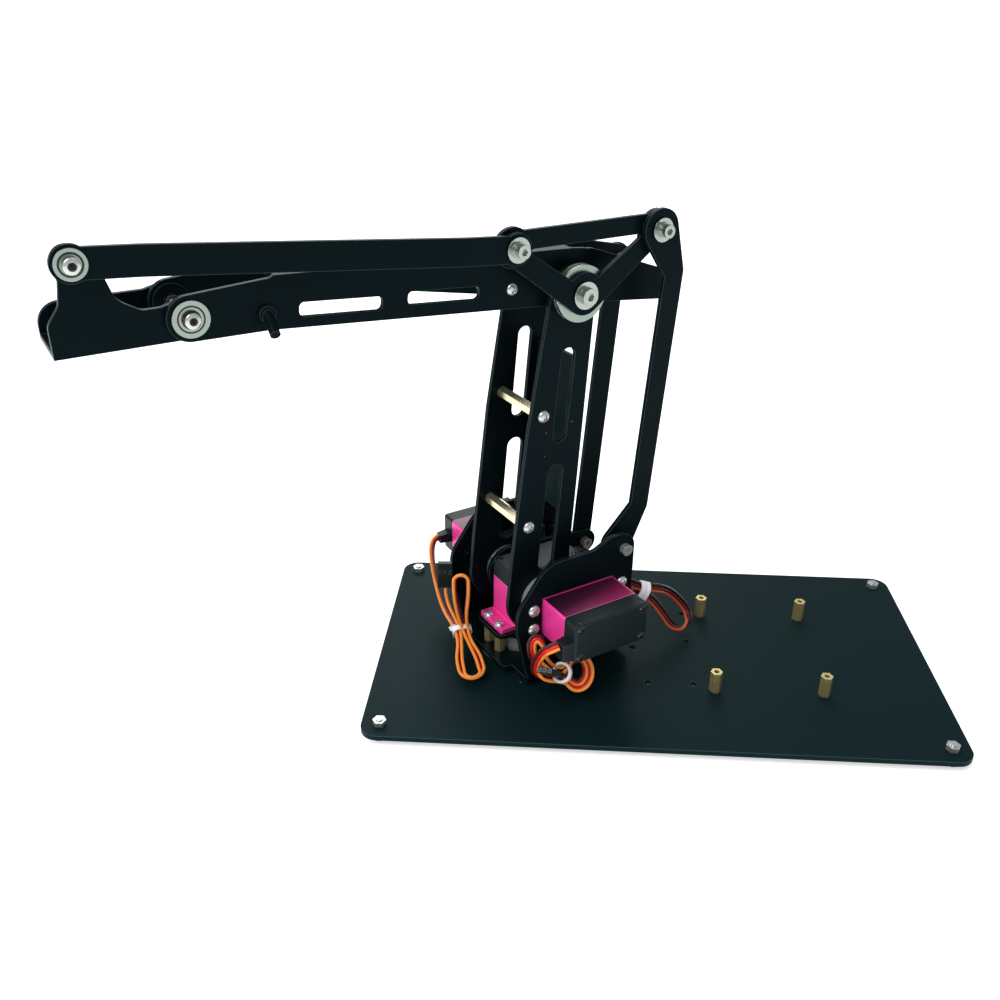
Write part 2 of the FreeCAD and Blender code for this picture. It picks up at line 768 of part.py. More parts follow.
def build_lower_arm():
    add_turned("arm_plate_near", arm_plate(arm_inner, arm_reach, shaft_diameter / 2))
    add_turned("arm_plate_far", arm_plate(-arm_reach, -arm_inner, hub_bearing_outer / 2))
    add_turned("arm_bridge", arm_bridge())
    add_turned("arm_cross_standoffs", group([cross_post(a, b) for a, b in cross_posts]))
    horn = ring_across(shoulder, horn_diameter / 2, shaft_diameter / 2, arm_reach, arm_reach + horn_thickness)
    add_turned("shoulder_horn", horn)
    outer, bore = hub_bearing_outer / 2, hub_diameter / 2 + running_play
    low = arm_reach + sheet - hub_bearing_width
    bearing = ring_across(shoulder, outer, bore, -arm_reach - sheet, -low)
    add_turned("arm_bearing", bearing)
    housing = ring_across(shoulder, housing_diameter / 2, outer, -arm_reach - sheet, -arm_reach)
    add_turned("arm_bearing_housing", housing)
    nut = hex_across(elbow, elbow_nut, -arm_reach - elbow_nut_height, -arm_reach)
    nut = nut.cut(pin_across(elbow, elbow_bolt / 2, -arm_reach - 2 * elbow_nut_height, 0))
    head = triangle_out + face_play
    washer = ring_across(elbow, elbow_washer / 2, elbow_bolt / 2, head, head + washer_thickness)
    add_turned("elbow_bolt", group([elbow_bolt_piece(), nut, washer]))
    add_turned("elbow_thrust_bearing", elbow_thrust())


def build_crank():
    plate = across(belt([(0, 0, crank_hub_radius), (crank_length, 0, crank_eye)]), -fore_reach, -fore_inner)
    plate = plate.cut(pin_across((crank_length, 0), pin, -fore_reach - 1, -fore_inner + 1))
    add_turned("crank_plate", stand(plate, shoulder, crank_angle))
    horn_face = arm_reach + sheet + open_play
    collar = arm_reach + sheet - hub_bearing_width - open_play
    hub = fused([pin_across(shoulder, hub_collar / 2, -collar, -fore_reach),
                 pin_across(shoulder, hub_diameter / 2, -horn_face, -collar)])
    socket = pin_across(shoulder, shaft_diameter / 2, -horn_face - 1, -arm_reach)
    add_turned("crank_hub", hub.cut(socket))
    horn_back = crank_servo_reach - horn_base
    horn = ring_across(shoulder, crank_horn_diameter / 2, shaft_diameter / 2, -horn_back, -horn_face)
    add_turned("crank_horn", horn)
    seat = -far_link_reach - 2 * face_play
    screw = cap_screw(crank_end, seat - pivot_nut_height - pivot_tip, -fore_inner)
    nut = hex_across(crank_end, pivot_nut, seat - pivot_nut_height, seat)
    add_turned("crank_pin", fused([screw, nut]))
    bush = ring_across(crank_end, bush_diameter / 2, pin + running_play,
                       -far_link_reach - face_play, -fore_reach - face_play)
    add_turned("crank_bush", bush)


def build_far_link():
    bar = belt([(0, 0, far_link_half_width), (upper_length, 0, far_link_half_width)])
    eyes = [pin_across((x, 0), far_link_eye, -far_link_reach, -far_link_in) for x in (0, upper_length)]
    link = fused([across(bar, -far_link_reach, -far_link_in)] + eyes)
    link = link.cut([pin_across((0, 0), bush_diameter / 2 + running_play, -far_link_reach - 1, 0),
                     pin_across((upper_length, 0), pin + open_play, -far_link_reach - 1, 0)])
    add_turned("far_link", stand(link, crank_end, upper_angle))


def triangle_plate():
    u, z = rod_offset_u, rod_offset_z
    face = belt([(0, 0, triangle_hub), (u, z, triangle_lobe), (-u, z, triangle_lobe)])
    slope = math.atan2(z, u)
    apex = triangle_arm_high / math.cos(slope)
    half = (triangle_bar_low - apex) / math.tan(slope)
    top = [(half, triangle_bar_low, window_edge), (-half, triangle_bar_low, window_edge)]
    window = rounded([(0, apex, 0)] + top, side)
    room = across(window, triangle_in - 1, triangle_out + 1)
    room = room.cut(pin_across((0, 0), triangle_hub_clear, triangle_in - 2, triangle_out + 2))
    holes = [pin_across((0, 0), elbow_bolt / 2 + running_play, 0, link_reach)]
    holes += [pin_across((k * u, z), pin, 0, link_reach) for k in (-1, 1)]
    plate = across(face, triangle_in, triangle_out).cut(room)
    eyes = [pin_across((k * u, z), triangle_eye, triangle_in, triangle_out) for k in (-1, 1)]
    return stand(fused([plate] + eyes).cut(holes), elbow, 0)


def outer_pivot(point):
    """Screw through the link or rod and the triangle, on a lock washer and a wide washer."""
    washer = link_reach + face_play
    lock = washer + washer_thickness
    seat = lock + lock_washer_thickness
    return fused([cap_screw(point, triangle_in - pivot_nut_height, seat),
                  hex_across(point, pivot_nut, triangle_in - pivot_nut_height, triangle_in),
                  pin_across(point, pivot_washer / 2, washer, lock),
                  pin_across(point, lock_washer / 2, lock, seat)])


def outer_spacer(point, diameter):
    return ring_across(point, diameter / 2, pin, triangle_out, link_in - face_play)


def build_triangle():
    add_turned("triangle_plate", triangle_plate())
    add_turned("triangle_pivots", group([outer_pivot(rod_rear), outer_spacer(rod_rear, spacer_diameter),
                                         outer_pivot(link_top), outer_spacer(link_top, link_spacer)]))


def build_near_link():
    low = (link_bow_end, link_bow, link_half_width)
    high = (upper_length - link_bow_end, link_bow, link_half_width)
    spans = [[(0, 0, link_eye), low], [low, high], [high, (upper_length, 0, link_eye)]]
    link = fused([across(belt(pair), link_in, link_reach) for pair in spans])
    link = link.cut([pin_across((0, 0), pin + running_play, 0, link_reach + 1),
                     pin_across((upper_length, 0), pin + open_play, 0, link_reach + 1)])
    add_turned("near_link", stand(link, link_foot, upper_angle))


def tail_point():
    turn = math.radians(crank_angle - fore_angle)
    return crank_length * math.cos(turn), crank_length * math.sin(turn)


def fore_side(sign):
    """One side of the forearm channel along +x from the elbow, with its tail behind."""
    v0, v1 = sorted((sign * fore_inner, sign * fore_reach))
    brow_x, brow_z, brow_r = fore_brow
    belly = [(brow_x, fore_belly, 0)]
    if sign < 0:
        risen = fore_belly + far_belly_rise
        belly = [(far_belly_from, fore_belly, 0), (far_belly_to, risen, 0), (brow_x, risen, 0)]
    body = belly + [(brow_x, brow_z + brow_r, 0), (roof_front, fore_roof_front, 0),
                    (roof_rear, fore_roof_rear, 0), (*fore_shoulder, fore_corner),
                    (fore_heel, fore_belly, fore_corner)]
    faces = [rounded(body, side), belt([fore_brow, (fore_length, 0, wrist_radius)][::-1])]
    if sign > 0:
        faces.append(belt([tail_root, (-near_tail, -near_tail_drop, near_tail_radius)]))
    else:
        faces.append(belt([tail_root, (*tail_point(), tail_radius)]))
    plate = fused([across(face, v0, v1) for face in faces])
    cuts = []
    lift = 0 if sign > 0 else far_window_lift
    for x0, x1, z0, z1 in fore_windows:
        spots = ((x1, z0), (x1, z1), (x0, z1), (x0, z0))
        window = [(x, z + lift, window_corner) for x, z in spots]
        cuts.append(across(rounded(window, side), v0 - 1, v1 + 1))
    cuts.append(pin_across((0, 0), bush_sleeve / 2, v0 - 1, v1 + 1))
    cuts.append(pin_across((fore_length, 0), wrist_bearing / 2, v0 - 1, v1 + 1))
    cuts.append(pin_across((brace_along, brace_up), post_thread / 2, v0 - 1, v1 + 1))
    if sign < 0:
        cuts.append(pin_across(tail_point(), pin, v0 - 1, v1 + 1))
    return plate.cut(cuts)


def forearm_channel():
    roof = rounded([(roof_front, fore_roof_front, 0), (roof_rear, fore_roof_rear, 0),
                    (roof_rear, fore_roof_rear - sheet, 0), (roof_front, fore_roof_front - sheet, 0)], side)
    channel = fused([fore_side(1), fore_side(-1), across(roof, -fore_reach, fore_reach)])
    return stand(channel, elbow, fore_angle)


def elbow_bush(sign):
    bore = elbow_bolt / 2 + running_play
    inner, middle, outer = sign * fore_inner, sign * fore_reach, sign * (arm_inner - face_play)
    return fused([ring_across(elbow, bush_sleeve / 2, bore, *sorted((inner, middle))),
                  ring_across(elbow, bush_collar / 2, bore, *sorted((middle, outer)))])


def wrist_bearing_piece(sign):
    bore = pin + running_play
    inner, face = sign * (tool_reach + wrist_shim + face_play), sign * fore_reach
    out = sign * (fore_reach + flange_thickness)
    return fused([ring_across(wrist, wrist_bearing / 2, bore, *sorted((inner, out))),
                  ring_across(wrist, wrist_flange / 2, bore, *sorted((face, out)))])


def stub_pin():
    foot = Vector(stub_along, fore_reach, 0)
    collar = Part.makeCylinder(stub_collar / 2, stub_collar_height, foot, Vector(0, 1, 0))
    tilt = math.radians(stub_tilt)
    way = Vector(0, math.cos(tilt), -math.sin(tilt))
    shank = Part.makeCylinder(stub_diameter / 2, stub_length, foot + Vector(0, stub_root, 0), way)
    return stand(fused([collar, shank]), elbow, fore_angle)


def build_forearm():
    add_turned("forearm_channel", forearm_channel())
    add_turned("elbow_bushes", group([elbow_bush(1), elbow_bush(-1)]))
    add_turned("wrist_bearings", group([wrist_bearing_piece(1), wrist_bearing_piece(-1)]))
    brace = hex_across((brace_along, brace_up), brace_across, -fore_inner, fore_inner)
    brace = brace.cut(pin_across((brace_along, brace_up), post_thread / 2, -fore_reach, fore_reach))
    add_turned("forearm_brace", stand(brace, elbow, fore_angle))
    seat = -far_link_reach - face_play
    screw = cap_screw(tail_end, seat - pivot_nut_height - pivot_tip, -fore_inner)
    nut = hex_across(tail_end, pivot_nut, seat - pivot_nut_height, seat)
    add_turned("tail_pin", fused([screw, nut]))
    add_turned("stub_pin", stub_pin())


def upper_rod():
    """Flat bar with a long shallow set, from the triangle's plane in to the tool bracket's."""
    rear_in, front_in = link_in, rod_front_reach - sheet
    reach = fore_length + rod_eye
    set_front = fore_length - rod_pad
    profile = [(-rod_eye, rear_in, 0), (rod_pad, rear_in, 0), (set_front, front_in, 0), (reach, front_in, 0),
               (reach, front_in + sheet, 0), (set_front, front_in + sheet, 0), (rod_pad, rear_in + sheet, 0),
               (-rod_eye, rear_in + sheet, 0)]
    strip = upright(rounded(profile, flat), -rod_eye, rod_eye)
    bar = belt([(0, 0, rod_half_width), (fore_length, 0, rod_half_width)])
    eyes = [pin_across((x, 0), rod_eye, 0, link_reach) for x in (0, fore_length)]
    rod = strip.common(fused([across(bar, 0, link_reach)] + eyes))
    rod = rod.cut([pin_across((0, 0), pin + running_play, 0, link_reach + 1),
                   pin_across((fore_length, 0), rod_bearing / 2, 0, link_reach)])
    return stand(rod, rod_rear, fore_angle)


def build_upper_rod():
    add_turned("upper_rod", upper_rod())
    front_in, out = rod_front_reach - sheet, rod_front_reach + flange_thickness
    bore = pin + open_play
    bearing = fused([ring_across(tool_pivot, rod_bearing / 2, bore, front_in, out),
                     ring_across(tool_pivot, rod_flange / 2, bore, rod_front_reach, out)])
    add_turned("rod_bearing", bearing)


def tool_near_side():
    """Near side of the tool bracket about the wrist: low nose in front, raised arm to the rod."""
    foot = [(tool_heel, tool_floor, 0), (tool_front, tool_floor, tool_toe)]
    faces = [rounded(foot + tool_nose, side), belt([(0, 0, tool_eye), tool_neck])]
    faces.append(belt([tool_arm, (rod_offset_u, rod_offset_z, tool_arm_eye)]))
    plate = fused([across(face, tool_inner, tool_reach) for face in faces])
    spots = ((0, 0), (rod_offset_u, rod_offset_z))
    return plate.cut([pin_across(spot, pin, tool_inner - 1, tool_reach + 1) for spot in spots])


def tool_far_side():
    """Low far side of the tool bracket, outside the forearm, with a round upper front corner."""
    strip = [(tool_heel, tool_floor, 0), (tool_front, tool_floor, tool_toe),
             (tool_front, tool_far_top, tool_far_round), (tool_heel, tool_far_top, 0)]
    faces = [rounded(strip, side), belt([(0, 0, tool_eye), tool_neck])]
    plate = fused([across(face, -tool_far_reach, -tool_far_in) for face in faces])
    return plate.cut(pin_across((0, 0), pin, -tool_far_reach - 1, -tool_far_in + 1))


def tool_bracket():
    corner = Vector(tool_rear, -tool_far_reach, tool_floor)
    floor = Part.makeBox(tool_front - tool_rear, tool_far_reach + tool_reach, sheet, corner)
    bracket = fused([tool_near_side(), tool_far_side(), floor])
    middle = (tool_front + tool_rear) / 2
    bracket = bracket.cut(pin_up(middle, 0, tool_hole / 2, tool_floor - 1, tool_floor + sheet + 1))
    return stand(bracket, wrist, 0)


def tool_pin(point, seat):
    """Screw from outside through the bracket's near side, with its nut inside."""
    return fused([pin_across(point, pin, tool_inner - pivot_nut_height - pivot_tip, seat),
                  pin_across(point, small_head / 2, seat, seat + small_head_height),
                  hex_across(point, pivot_nut, tool_inner - pivot_nut_height, tool_inner)])


def build_tool_bracket():
    add_turned("tool_bracket", tool_bracket())
    wrist_pin = tool_pin(wrist, fore_reach + flange_thickness + face_play)
    nut_out = tool_reach + wrist_shim
    far_pin = [pin_across(wrist, pin, -tool_far_reach, pivot_nut_height + pivot_tip - nut_out),
               pin_across(wrist, small_head / 2, -tool_far_reach - small_head_height, -tool_far_reach),
               hex_across(wrist, pivot_nut, -nut_out, pivot_nut_height - nut_out)]
    shims = [ring_across(wrist, pin + wrist_shim_wall, pin, low, high)
             for low, high in ((tool_reach, nut_out), (-tool_far_in, wrist_shim - tool_far_in))]
    rod_pin = tool_pin(tool_pivot, rod_front_reach + flange_thickness + face_play)
    rod_in = rod_front_reach - sheet
    spacer = ring_across(tool_pivot, spacer_diameter / 2, pin, tool_reach, rod_in - face_play)
    add_turned("tool_pivots", group([wrist_pin, fused(far_pin), rod_pin, spacer] + shims))


def tube(points, diameter, name):
    """Round cord along straight runs joined by tangent arcs, each as large as its runs leave room for."""
    spots = [Vector(*p) for p in points]
    edges = []
    radii = []
    last = spots[0]
    for i in range(1, len(spots) - 1):
        back, ahead = spots[i - 1] - spots[i], spots[i + 1] - spots[i]
        reach = run_share * min(back.Length, ahead.Length)
        a = spots[i] + back.normalize() * reach
        b = spots[i] + ahead.normalize() * reach
        half = back.getAngle(ahead) / 2
        radius = reach * math.tan(half)
        radii.append(round(radius, 1))
        middle = spots[i] + (back + ahead).normalize() * (radius / math.sin(half) - radius)
        edges.append(Part.makeLine(last, a))
        edges.append(Part.Arc(a, middle, b).toShape())
        last = b
    edges.append(Part.makeLine(last, spots[-1]))
    length = sum(edge.Length for edge in edges)
    start = Part.Wire(Part.makeCircle(diameter / 2, spots[0], spots[1] - spots[0]))
    solid = Part.Wire(edges).makePipeShell([start], True, False)
    share = solid.Volume / (math.pi * diameter ** 2 / 4 * length)
    print(name, "length", round(length, 1), "radii", radii, "volume share", round(share, 4))
    return solid


def framed(shape, origin, along, width):
    """Place a piece drawn with x along it, z across it and y through it."""
    x = Vector(*along).normalize()
    z = Vector(*width)
    z = (z - x * z.dot(x)).normalize()
    y = z.cross(x)
    o = Vector(*origin)
    grid = FreeCAD.Matrix(x.x, y.x, z.x, o.x, x.y, y.y, z.y, o.y, x.z, y.z, z.z, o.z, 0, 0, 0, 1)
    placed = shape.copy()
    placed.transformShape(grid, True)
    return placed


def lead_loop(length, waist, end, strand):
    """Flat outer shape of one tied loop of lead, from its tie at the origin along +x."""
    half = hank_thickness / 2
    outer = across(belt([(0, 0, waist), (length, 0, end)]), -half, half)
    mouth = belt([(length * loop_mouth, 0, strand / 4), (length, 0, end - strand)])
    return outer.cut(across(mouth, -half - 1, half + 1))


def towards(a, b):
    return tuple(q - p for p, q in zip(a, b))


def plug(centre, along, width):
    body = Part.makeBox(plug_length, plug_thickness, plug_width,
                        Vector(-plug_length / 2, -plug_thickness / 2, -plug_width / 2))
    return framed(body, centre, along, width)


def tie(centre, along, width, room):
    wide, thick = room
    band = Part.makeBox(tie_width, thick + 2 * tie_wall, wide + 2 * tie_wall,
                        Vector(-tie_width / 2, -thick / 2 - tie_wall, -wide / 2 - tie_wall))
    space = Part.makeBox(2 * tie_width, thick, wide, Vector(-tie_width, -thick / 2, -wide / 2))
    return framed(band.cut(space), centre, along, width)


def crank_hank():
    low, high = towards(crank_tie, crank_loop_low), towards(crank_tie, crank_loop_high)
    low_reach = Vector(*low).Length - crank_low_end
    high_reach = Vector(*high).Length - crank_high_end
    low_loop = lead_loop(low_reach, crank_waist, crank_low_end, crank_low_strand)
    high_loop = lead_loop(high_reach, crank_waist, crank_high_end, crank_high_strand)
    return fused([framed(low_loop, crank_tie, low, view_right),
                  framed(high_loop, crank_tie, high, view_right)])


def shoulder_coil(width):
    loop = lead_loop(shoulder_coil_reach, shoulder_waist, shoulder_coil_end, shoulder_coil_strand)
    ways = (shoulder_coil_way, tuple(-k for k in shoulder_coil_way))
    return fused([framed(loop, shoulder_tie, way, width) for way in ways])


def build_leads():
    tail = tube(crank_tail_route, lead_diameter, "crank_tail")
    add_turned("crank_lead", group([tube(crank_lead_route, lead_diameter, "crank_lead"), tail]))
    add_turned("crank_lead_hank", crank_hank())
    add_turned("shoulder_lead", tube(shoulder_lead_route, lead_diameter, "shoulder_lead"))
    coil_width = tuple(Vector(*view_back).cross(Vector(*shoulder_coil_way)))
    add_turned("shoulder_lead_coil", shoulder_coil(coil_width))
    add_turned("yaw_lead", tube(yaw_lead_route, lead_diameter, "yaw_lead"))
    yaw_end = Vector(*yaw_lead_route[-1]) + Vector(plug_length / 2, 0, 0)
    add_turned("lead_plugs", group([plug(crank_plug, (0, 0, 1), view_right),
                                    plug(shoulder_plug, shoulder_plug_way, shoulder_plug_side),
                                    plug(tuple(yaw_end), (1, 0, 0), (0, 1, 0))]))
    crank_way = towards(crank_loop_low, crank_loop_high)
    add_turned("lead_ties", group([tie(crank_tie, crank_way, view_right, crank_tie_room),
                                   tie(shoulder_tie, shoulder_coil_way, coil_width, shoulder_tie_room),
                                   tie(yaw_tie, yaw_tie_way, yaw_tie_side, yaw_tie_room)]))


build_base()
build_turntable()
build_lower_arm()
build_crank()
build_far_link()
build_triangle()
build_near_link()
build_forearm()
build_upper_rod()
build_tool_bracket()
build_leads()

os.makedirs("parts", exist_ok=True)
for node, shape in nodes.items():
    shape.exportStep("parts/" + node + ".step")
    sizes = [round(v, 1) for v in (shape.BoundBox.XLength, shape.BoundBox.YLength, shape.BoundBox.ZLength)]
    print(node, "solids", len(shape.Solids), "valid", shape.isValid(), "box", sizes)
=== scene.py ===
import bmesh
import bpy
import math
from mathutils import Matrix, Vector


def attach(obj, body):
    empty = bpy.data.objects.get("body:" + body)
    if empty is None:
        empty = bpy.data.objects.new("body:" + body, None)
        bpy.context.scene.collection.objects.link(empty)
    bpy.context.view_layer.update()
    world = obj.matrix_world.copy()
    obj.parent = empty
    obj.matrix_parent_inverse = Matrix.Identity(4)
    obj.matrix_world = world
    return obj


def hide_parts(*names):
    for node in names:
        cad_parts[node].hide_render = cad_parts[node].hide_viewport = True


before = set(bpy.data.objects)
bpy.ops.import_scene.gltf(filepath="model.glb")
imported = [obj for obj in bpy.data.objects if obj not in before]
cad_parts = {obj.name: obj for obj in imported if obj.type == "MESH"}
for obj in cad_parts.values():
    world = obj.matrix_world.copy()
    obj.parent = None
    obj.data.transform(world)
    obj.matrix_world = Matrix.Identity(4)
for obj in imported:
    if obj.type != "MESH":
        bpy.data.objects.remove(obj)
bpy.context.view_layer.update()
scene = bpy.context.scene
mm = 0.001
restYaw = math.radians(34.5)  # the arm rests turned this far round its yaw axis
sharpFrom = {"solids": math.radians(40), "fasteners": math.radians(35)}  # edges past these stay sharp
print("frame loaded:", len(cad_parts), "nodes")


def armPoint(u, v, z):  # arm's own millimetres: forward, left, up
    c, s = math.cos(restYaw), math.sin(restYaw)
    return Vector((u * c - v * s, u * s + v * c, z)) * mm


def armWay(u, v, z):
    return armPoint(u, v, z).normalized()


def addPiece(name, mesh):
    piece = bpy.data.objects.new(name, mesh)
    scene.collection.objects.link(piece)
    return piece


def plainMesh(name, points, faces, materials, slots=None, smooth=False):
    mesh = bpy.data.meshes.new(name)
    mesh.from_pydata([tuple(p) for p in points], [], faces)
    for material in materials:
        mesh.materials.append(material)
    if slots:
        mesh.polygons.foreach_set("material_index", slots)
    mesh.polygons.foreach_set("use_smooth", [smooth] * len(faces))
    if smooth:
        mesh.set_sharp_from_angle(angle=sharpFrom["solids"])
    return addPiece(name, mesh)


# node trees written as expressions
class Wire:
    def __init__(self, sheet, socket):
        self.sheet = sheet
        self.socket = socket

    def calc(self, operation, first, second):
        return self.sheet.node("ShaderNodeMath", {"operation": operation}, {0: first, 1: second})[0]

    def __add__(self, other):
        return self.calc("ADD", self, other)

    def __radd__(self, other):
        return self.calc("ADD", other, self)

    def __sub__(self, other):
        return self.calc("SUBTRACT", self, other)

    def __rsub__(self, other):
        return self.calc("SUBTRACT", other, self)

    def __mul__(self, other):
        return self.calc("MULTIPLY", self, other)

    def __rmul__(self, other):
        return self.calc("MULTIPLY", other, self)

    def __truediv__(self, other):
        return self.calc("DIVIDE", self, other)

    def __rtruediv__(self, other):
        return self.calc("DIVIDE", other, self)

    def __lt__(self, other):
        return self.calc("LESS_THAN", self, other)

    def __gt__(self, other):
        return self.calc("GREATER_THAN", self, other)


class Outputs:
    def __init__(self, sheet, node):
        self.sheet = sheet
        self.made = node

    def __getitem__(self, key):
        return Wire(self.sheet, self.made.outputs[key])


# the gain sets how strongly the painted highlight along edges shows
surface = {"detail": 2.0, "bevelSamples": 6, "edgeGain": 8.0, "bumpDistance": 0.0001}


class Sheet:
    def __init__(self, tree):
        self.tree = tree

    def node(self, kind, settings=None, values=None):
        made = self.tree.nodes.new(kind)
        for key, value in (settings or {}).items():
            if key == "stops":
                self.setStops(made.color_ramp, value)
            else:
                setattr(made, key, value)
        for key, value in (values or {}).items():
            links = value if isinstance(value, list) else [value]
            for link in links:
                if isinstance(link, Wire):
                    self.tree.links.new(link.socket, made.inputs[key])
                else:
                    made.inputs[key].default_value = link
        return Outputs(self, made)

    def setStops(self, ramp, stops):
        while len(ramp.elements) < len(stops):
            ramp.elements.new(0.5)
        for element, (place, colour) in zip(ramp.elements, stops):
            element.position = place
            element.color = colour

    def grain(self, size):
        place = self.node("ShaderNodeTexCoord")["Object"]
        values = {"Vector": place, "Scale": 1.0 / size, "Detail": surface["detail"]}
        return self.node("ShaderNodeTexNoise", {}, values)["Fac"]

    def rounded(self, radius):  # normal that takes the sharpness off edges
        samples = surface["bevelSamples"]
        return self.node("ShaderNodeBevel", {"samples": samples}, {"Radius": radius})["Normal"]

    def paintedEdgeLightMask(self, rounded):  # painted highlight along sharp edges
        flat = self.node("ShaderNodeNewGeometry")["Normal"]
        product = self.node("ShaderNodeVectorMath", {"operation": "DOT_PRODUCT"}, {0: rounded, 1: flat})
        return self.node("ShaderNodeClamp", {}, {"Value": (1.0 - product["Value"]) * surface["edgeGain"]})[0]

    def blend(self, share, first, second):  # a colour mix's factor, two colours and result, by number
        return self.node("ShaderNodeMix", {"data_type": "RGBA"}, {0: share, 6: first, 7: second})[2]

    def bump(self, height, strength, normal):
        values = {"Strength": strength, "Distance": surface["bumpDistance"], "Height": height,
                  "Normal": normal}
        return self.node("ShaderNodeBump", {}, values)["Normal"]

    def finish(self, values):
        shader = self.node("ShaderNodeBsdfPrincipled", {}, values)
        self.node("ShaderNodeOutputMaterial", {}, {"Surface": shader["BSDF"]})


def startMaterial(name):
    material = bpy.data.materials.new(name)
    material.use_nodes = True
    material.node_tree.nodes.clear()
    return material, Sheet(material.node_tree)


# the edge colours here are painted highlights along the plates' edges
plateFinish = {"colour": (0.0022, 0.0048, 0.0063, 1), "edge": (0.05, 0.085, 0.09, 1), "rough": 0.34,
               "shine": 0.05, "grain": 0.0006, "depth": 0.12, "rounding": 0.0004, "speck": 0.010}
baseFinish = {"colour": (0.0034, 0.0125, 0.0145, 1), "edge": (0.06, 0.10, 0.11, 1), "rough": 0.42,
              "shine": 0.05, "grain": 0.0005, "depth": 0.26, "rounding": 0.0005, "speck": 0.014}
coat = {"fineSpread": 0.14, "wideGrain": 0.02, "wideSpread": 0.1, "tint": (0.5, 0.95, 1.0, 1),
        "speckRadius": 0.018, "speckFrom": 0.6, "speckColour": (0.4, 0.45, 0.45, 1)}


def makePaint(name, finish):  # black powder coat with painted highlights along its edges and a few light specks
    material, sheet = startMaterial(name)
    fine = sheet.grain(finish["grain"])
    wide = sheet.grain(coat["wideGrain"])
    rounded = sheet.rounded(finish["rounding"])
    place = sheet.node("ShaderNodeTexCoord")["Object"]
    cell = sheet.node("ShaderNodeTexVoronoi", {}, {"Vector": place, "Scale": 1.0 / finish["speck"]})
    chance = sheet.node("ShaderNodeSeparateColor", {}, {"Color": cell["Color"]})["Red"]
    speck = (cell["Distance"] < coat["speckRadius"]) * (chance > coat["speckFrom"])
    colour = sheet.blend(sheet.paintedEdgeLightMask(rounded), finish["colour"], finish["edge"])
    rough = finish["rough"] + (fine - 0.5) * coat["fineSpread"] + (wide - 0.5) * coat["wideSpread"]
    sheet.finish({"Base Color": sheet.blend(speck, colour, coat["speckColour"]), "Roughness": rough,
                  "Specular IOR Level": finish["shine"], "Specular Tint": coat["tint"],
                  "Normal": sheet.bump(fine, finish["depth"], rounded)})
    return material


metal = {"grain": 0.0004, "spread": 0.12, "rounding": 0.0002}


def makeMetal(name, colour, rough, metallic=1.0, depth=0.06):
    material, sheet = startMaterial(name)
    fine = sheet.grain(metal["grain"])
    sheet.finish({"Base Color": colour, "Metallic": metallic,
                  "Roughness": rough + (fine - 0.5) * metal["spread"],
                  "Normal": sheet.bump(fine, depth, sheet.rounded(metal["rounding"]))})
    return material


plastic = {"grain": 0.0005, "spread": 0.1, "depth": 0.05}


# an edge colour, when given, is a painted highlight along sharp edges
def makePlastic(name, colour, rough, edge=None, rounding=0.0003, shine=0.4):
    material, sheet = startMaterial(name)
    fine = sheet.grain(plastic["grain"])
    rounded = sheet.rounded(rounding)
    shade = sheet.blend(sheet.paintedEdgeLightMask(rounded), colour, edge) if edge else colour
    sheet.finish({"Base Color": shade, "Roughness": rough + (fine - 0.5) * plastic["spread"],
                  "Specular IOR Level": shine, "Normal": sheet.bump(fine, plastic["depth"], rounded)})
    return material


# the edge colour is a painted highlight along the case's edges
pinkFinish = {"colour": (0.95, 0.045, 0.36, 1), "edge": (1.0, 0.3, 0.7, 1), "metallic": 0.25, "rough": 0.34,
              "grain": 0.0003, "spread": 0.1, "rounding": 0.0006}


def makeAnodised(name, finish):
    material, sheet = startMaterial(name)
    fine = sheet.grain(finish["grain"])
    rounded = sheet.rounded(finish["rounding"])
    # painted highlight along sharp edges
    sheet.finish({"Base Color": sheet.blend(sheet.paintedEdgeLightMask(rounded), finish["colour"], finish["edge"]),
                  "Metallic": finish["metallic"], "Normal": rounded,
                  "Roughness": finish["rough"] + (fine - 0.5) * finish["spread"]})
    return material


# the ramp is painted shade: dark by the flange, bright by the cover
shadedLabelFinish = {"stops": [(0.0, (0.010, 0.003, 0.008, 1)), (0.45, (0.045, 0.006, 0.022, 1)),
                         (1.0, (0.32, 0.015, 0.11, 1))],
               "ahead": 0.35, "across": 0.65, "rough": 0.32, "grain": 0.0006, "spread": 0.08}


def makeLabel(name, finish):  # plain label with painted shade across its own UV map, darker towards the flange and the front end
    material, sheet = startMaterial(name)
    place = sheet.node("ShaderNodeSeparateXYZ", {}, {0: sheet.node("ShaderNodeTexCoord")["UV"]})
    share = place["X"] * finish["ahead"] + place["Y"] * finish["across"]
    ramp = sheet.node("ShaderNodeValToRGB", {"stops": finish["stops"]}, {"Fac": share})
    rough = finish["rough"] + (sheet.grain(finish["grain"]) - 0.5) * finish["spread"]
    sheet.finish({"Base Color": ramp["Color"], "Roughness": rough})
    return material


wireLook = {"rough": 0.26, "rounding": 0.00005, "shine": 0.3}

plateBlack = makePaint("plateBlack", plateFinish)
baseBlack = makePaint("baseBlack", baseFinish)
steel = makeMetal("steel", (0.54, 0.56, 0.54, 1), rough=0.22, metallic=0.8)
boltSteel = makeMetal("boltSteel", (0.38, 0.42, 0.38, 1), rough=0.17, depth=0.02)
darkSteel = makeMetal("darkSteel", (0.03, 0.034, 0.036, 1), rough=0.3)
brass = makeMetal("brass", (0.74, 0.60, 0.27, 1), rough=0.22, metallic=0.78)
paleBrass = makeMetal("paleBrass", (0.74, 0.67, 0.46, 1), rough=0.24, metallic=0.9)
ringSteel = makeMetal("ringSteel", (0.29, 0.35, 0.30, 1), rough=0.32)
hornGrey = makeMetal("hornGrey", (0.62, 0.65, 0.64, 1), rough=0.34, metallic=0.7)
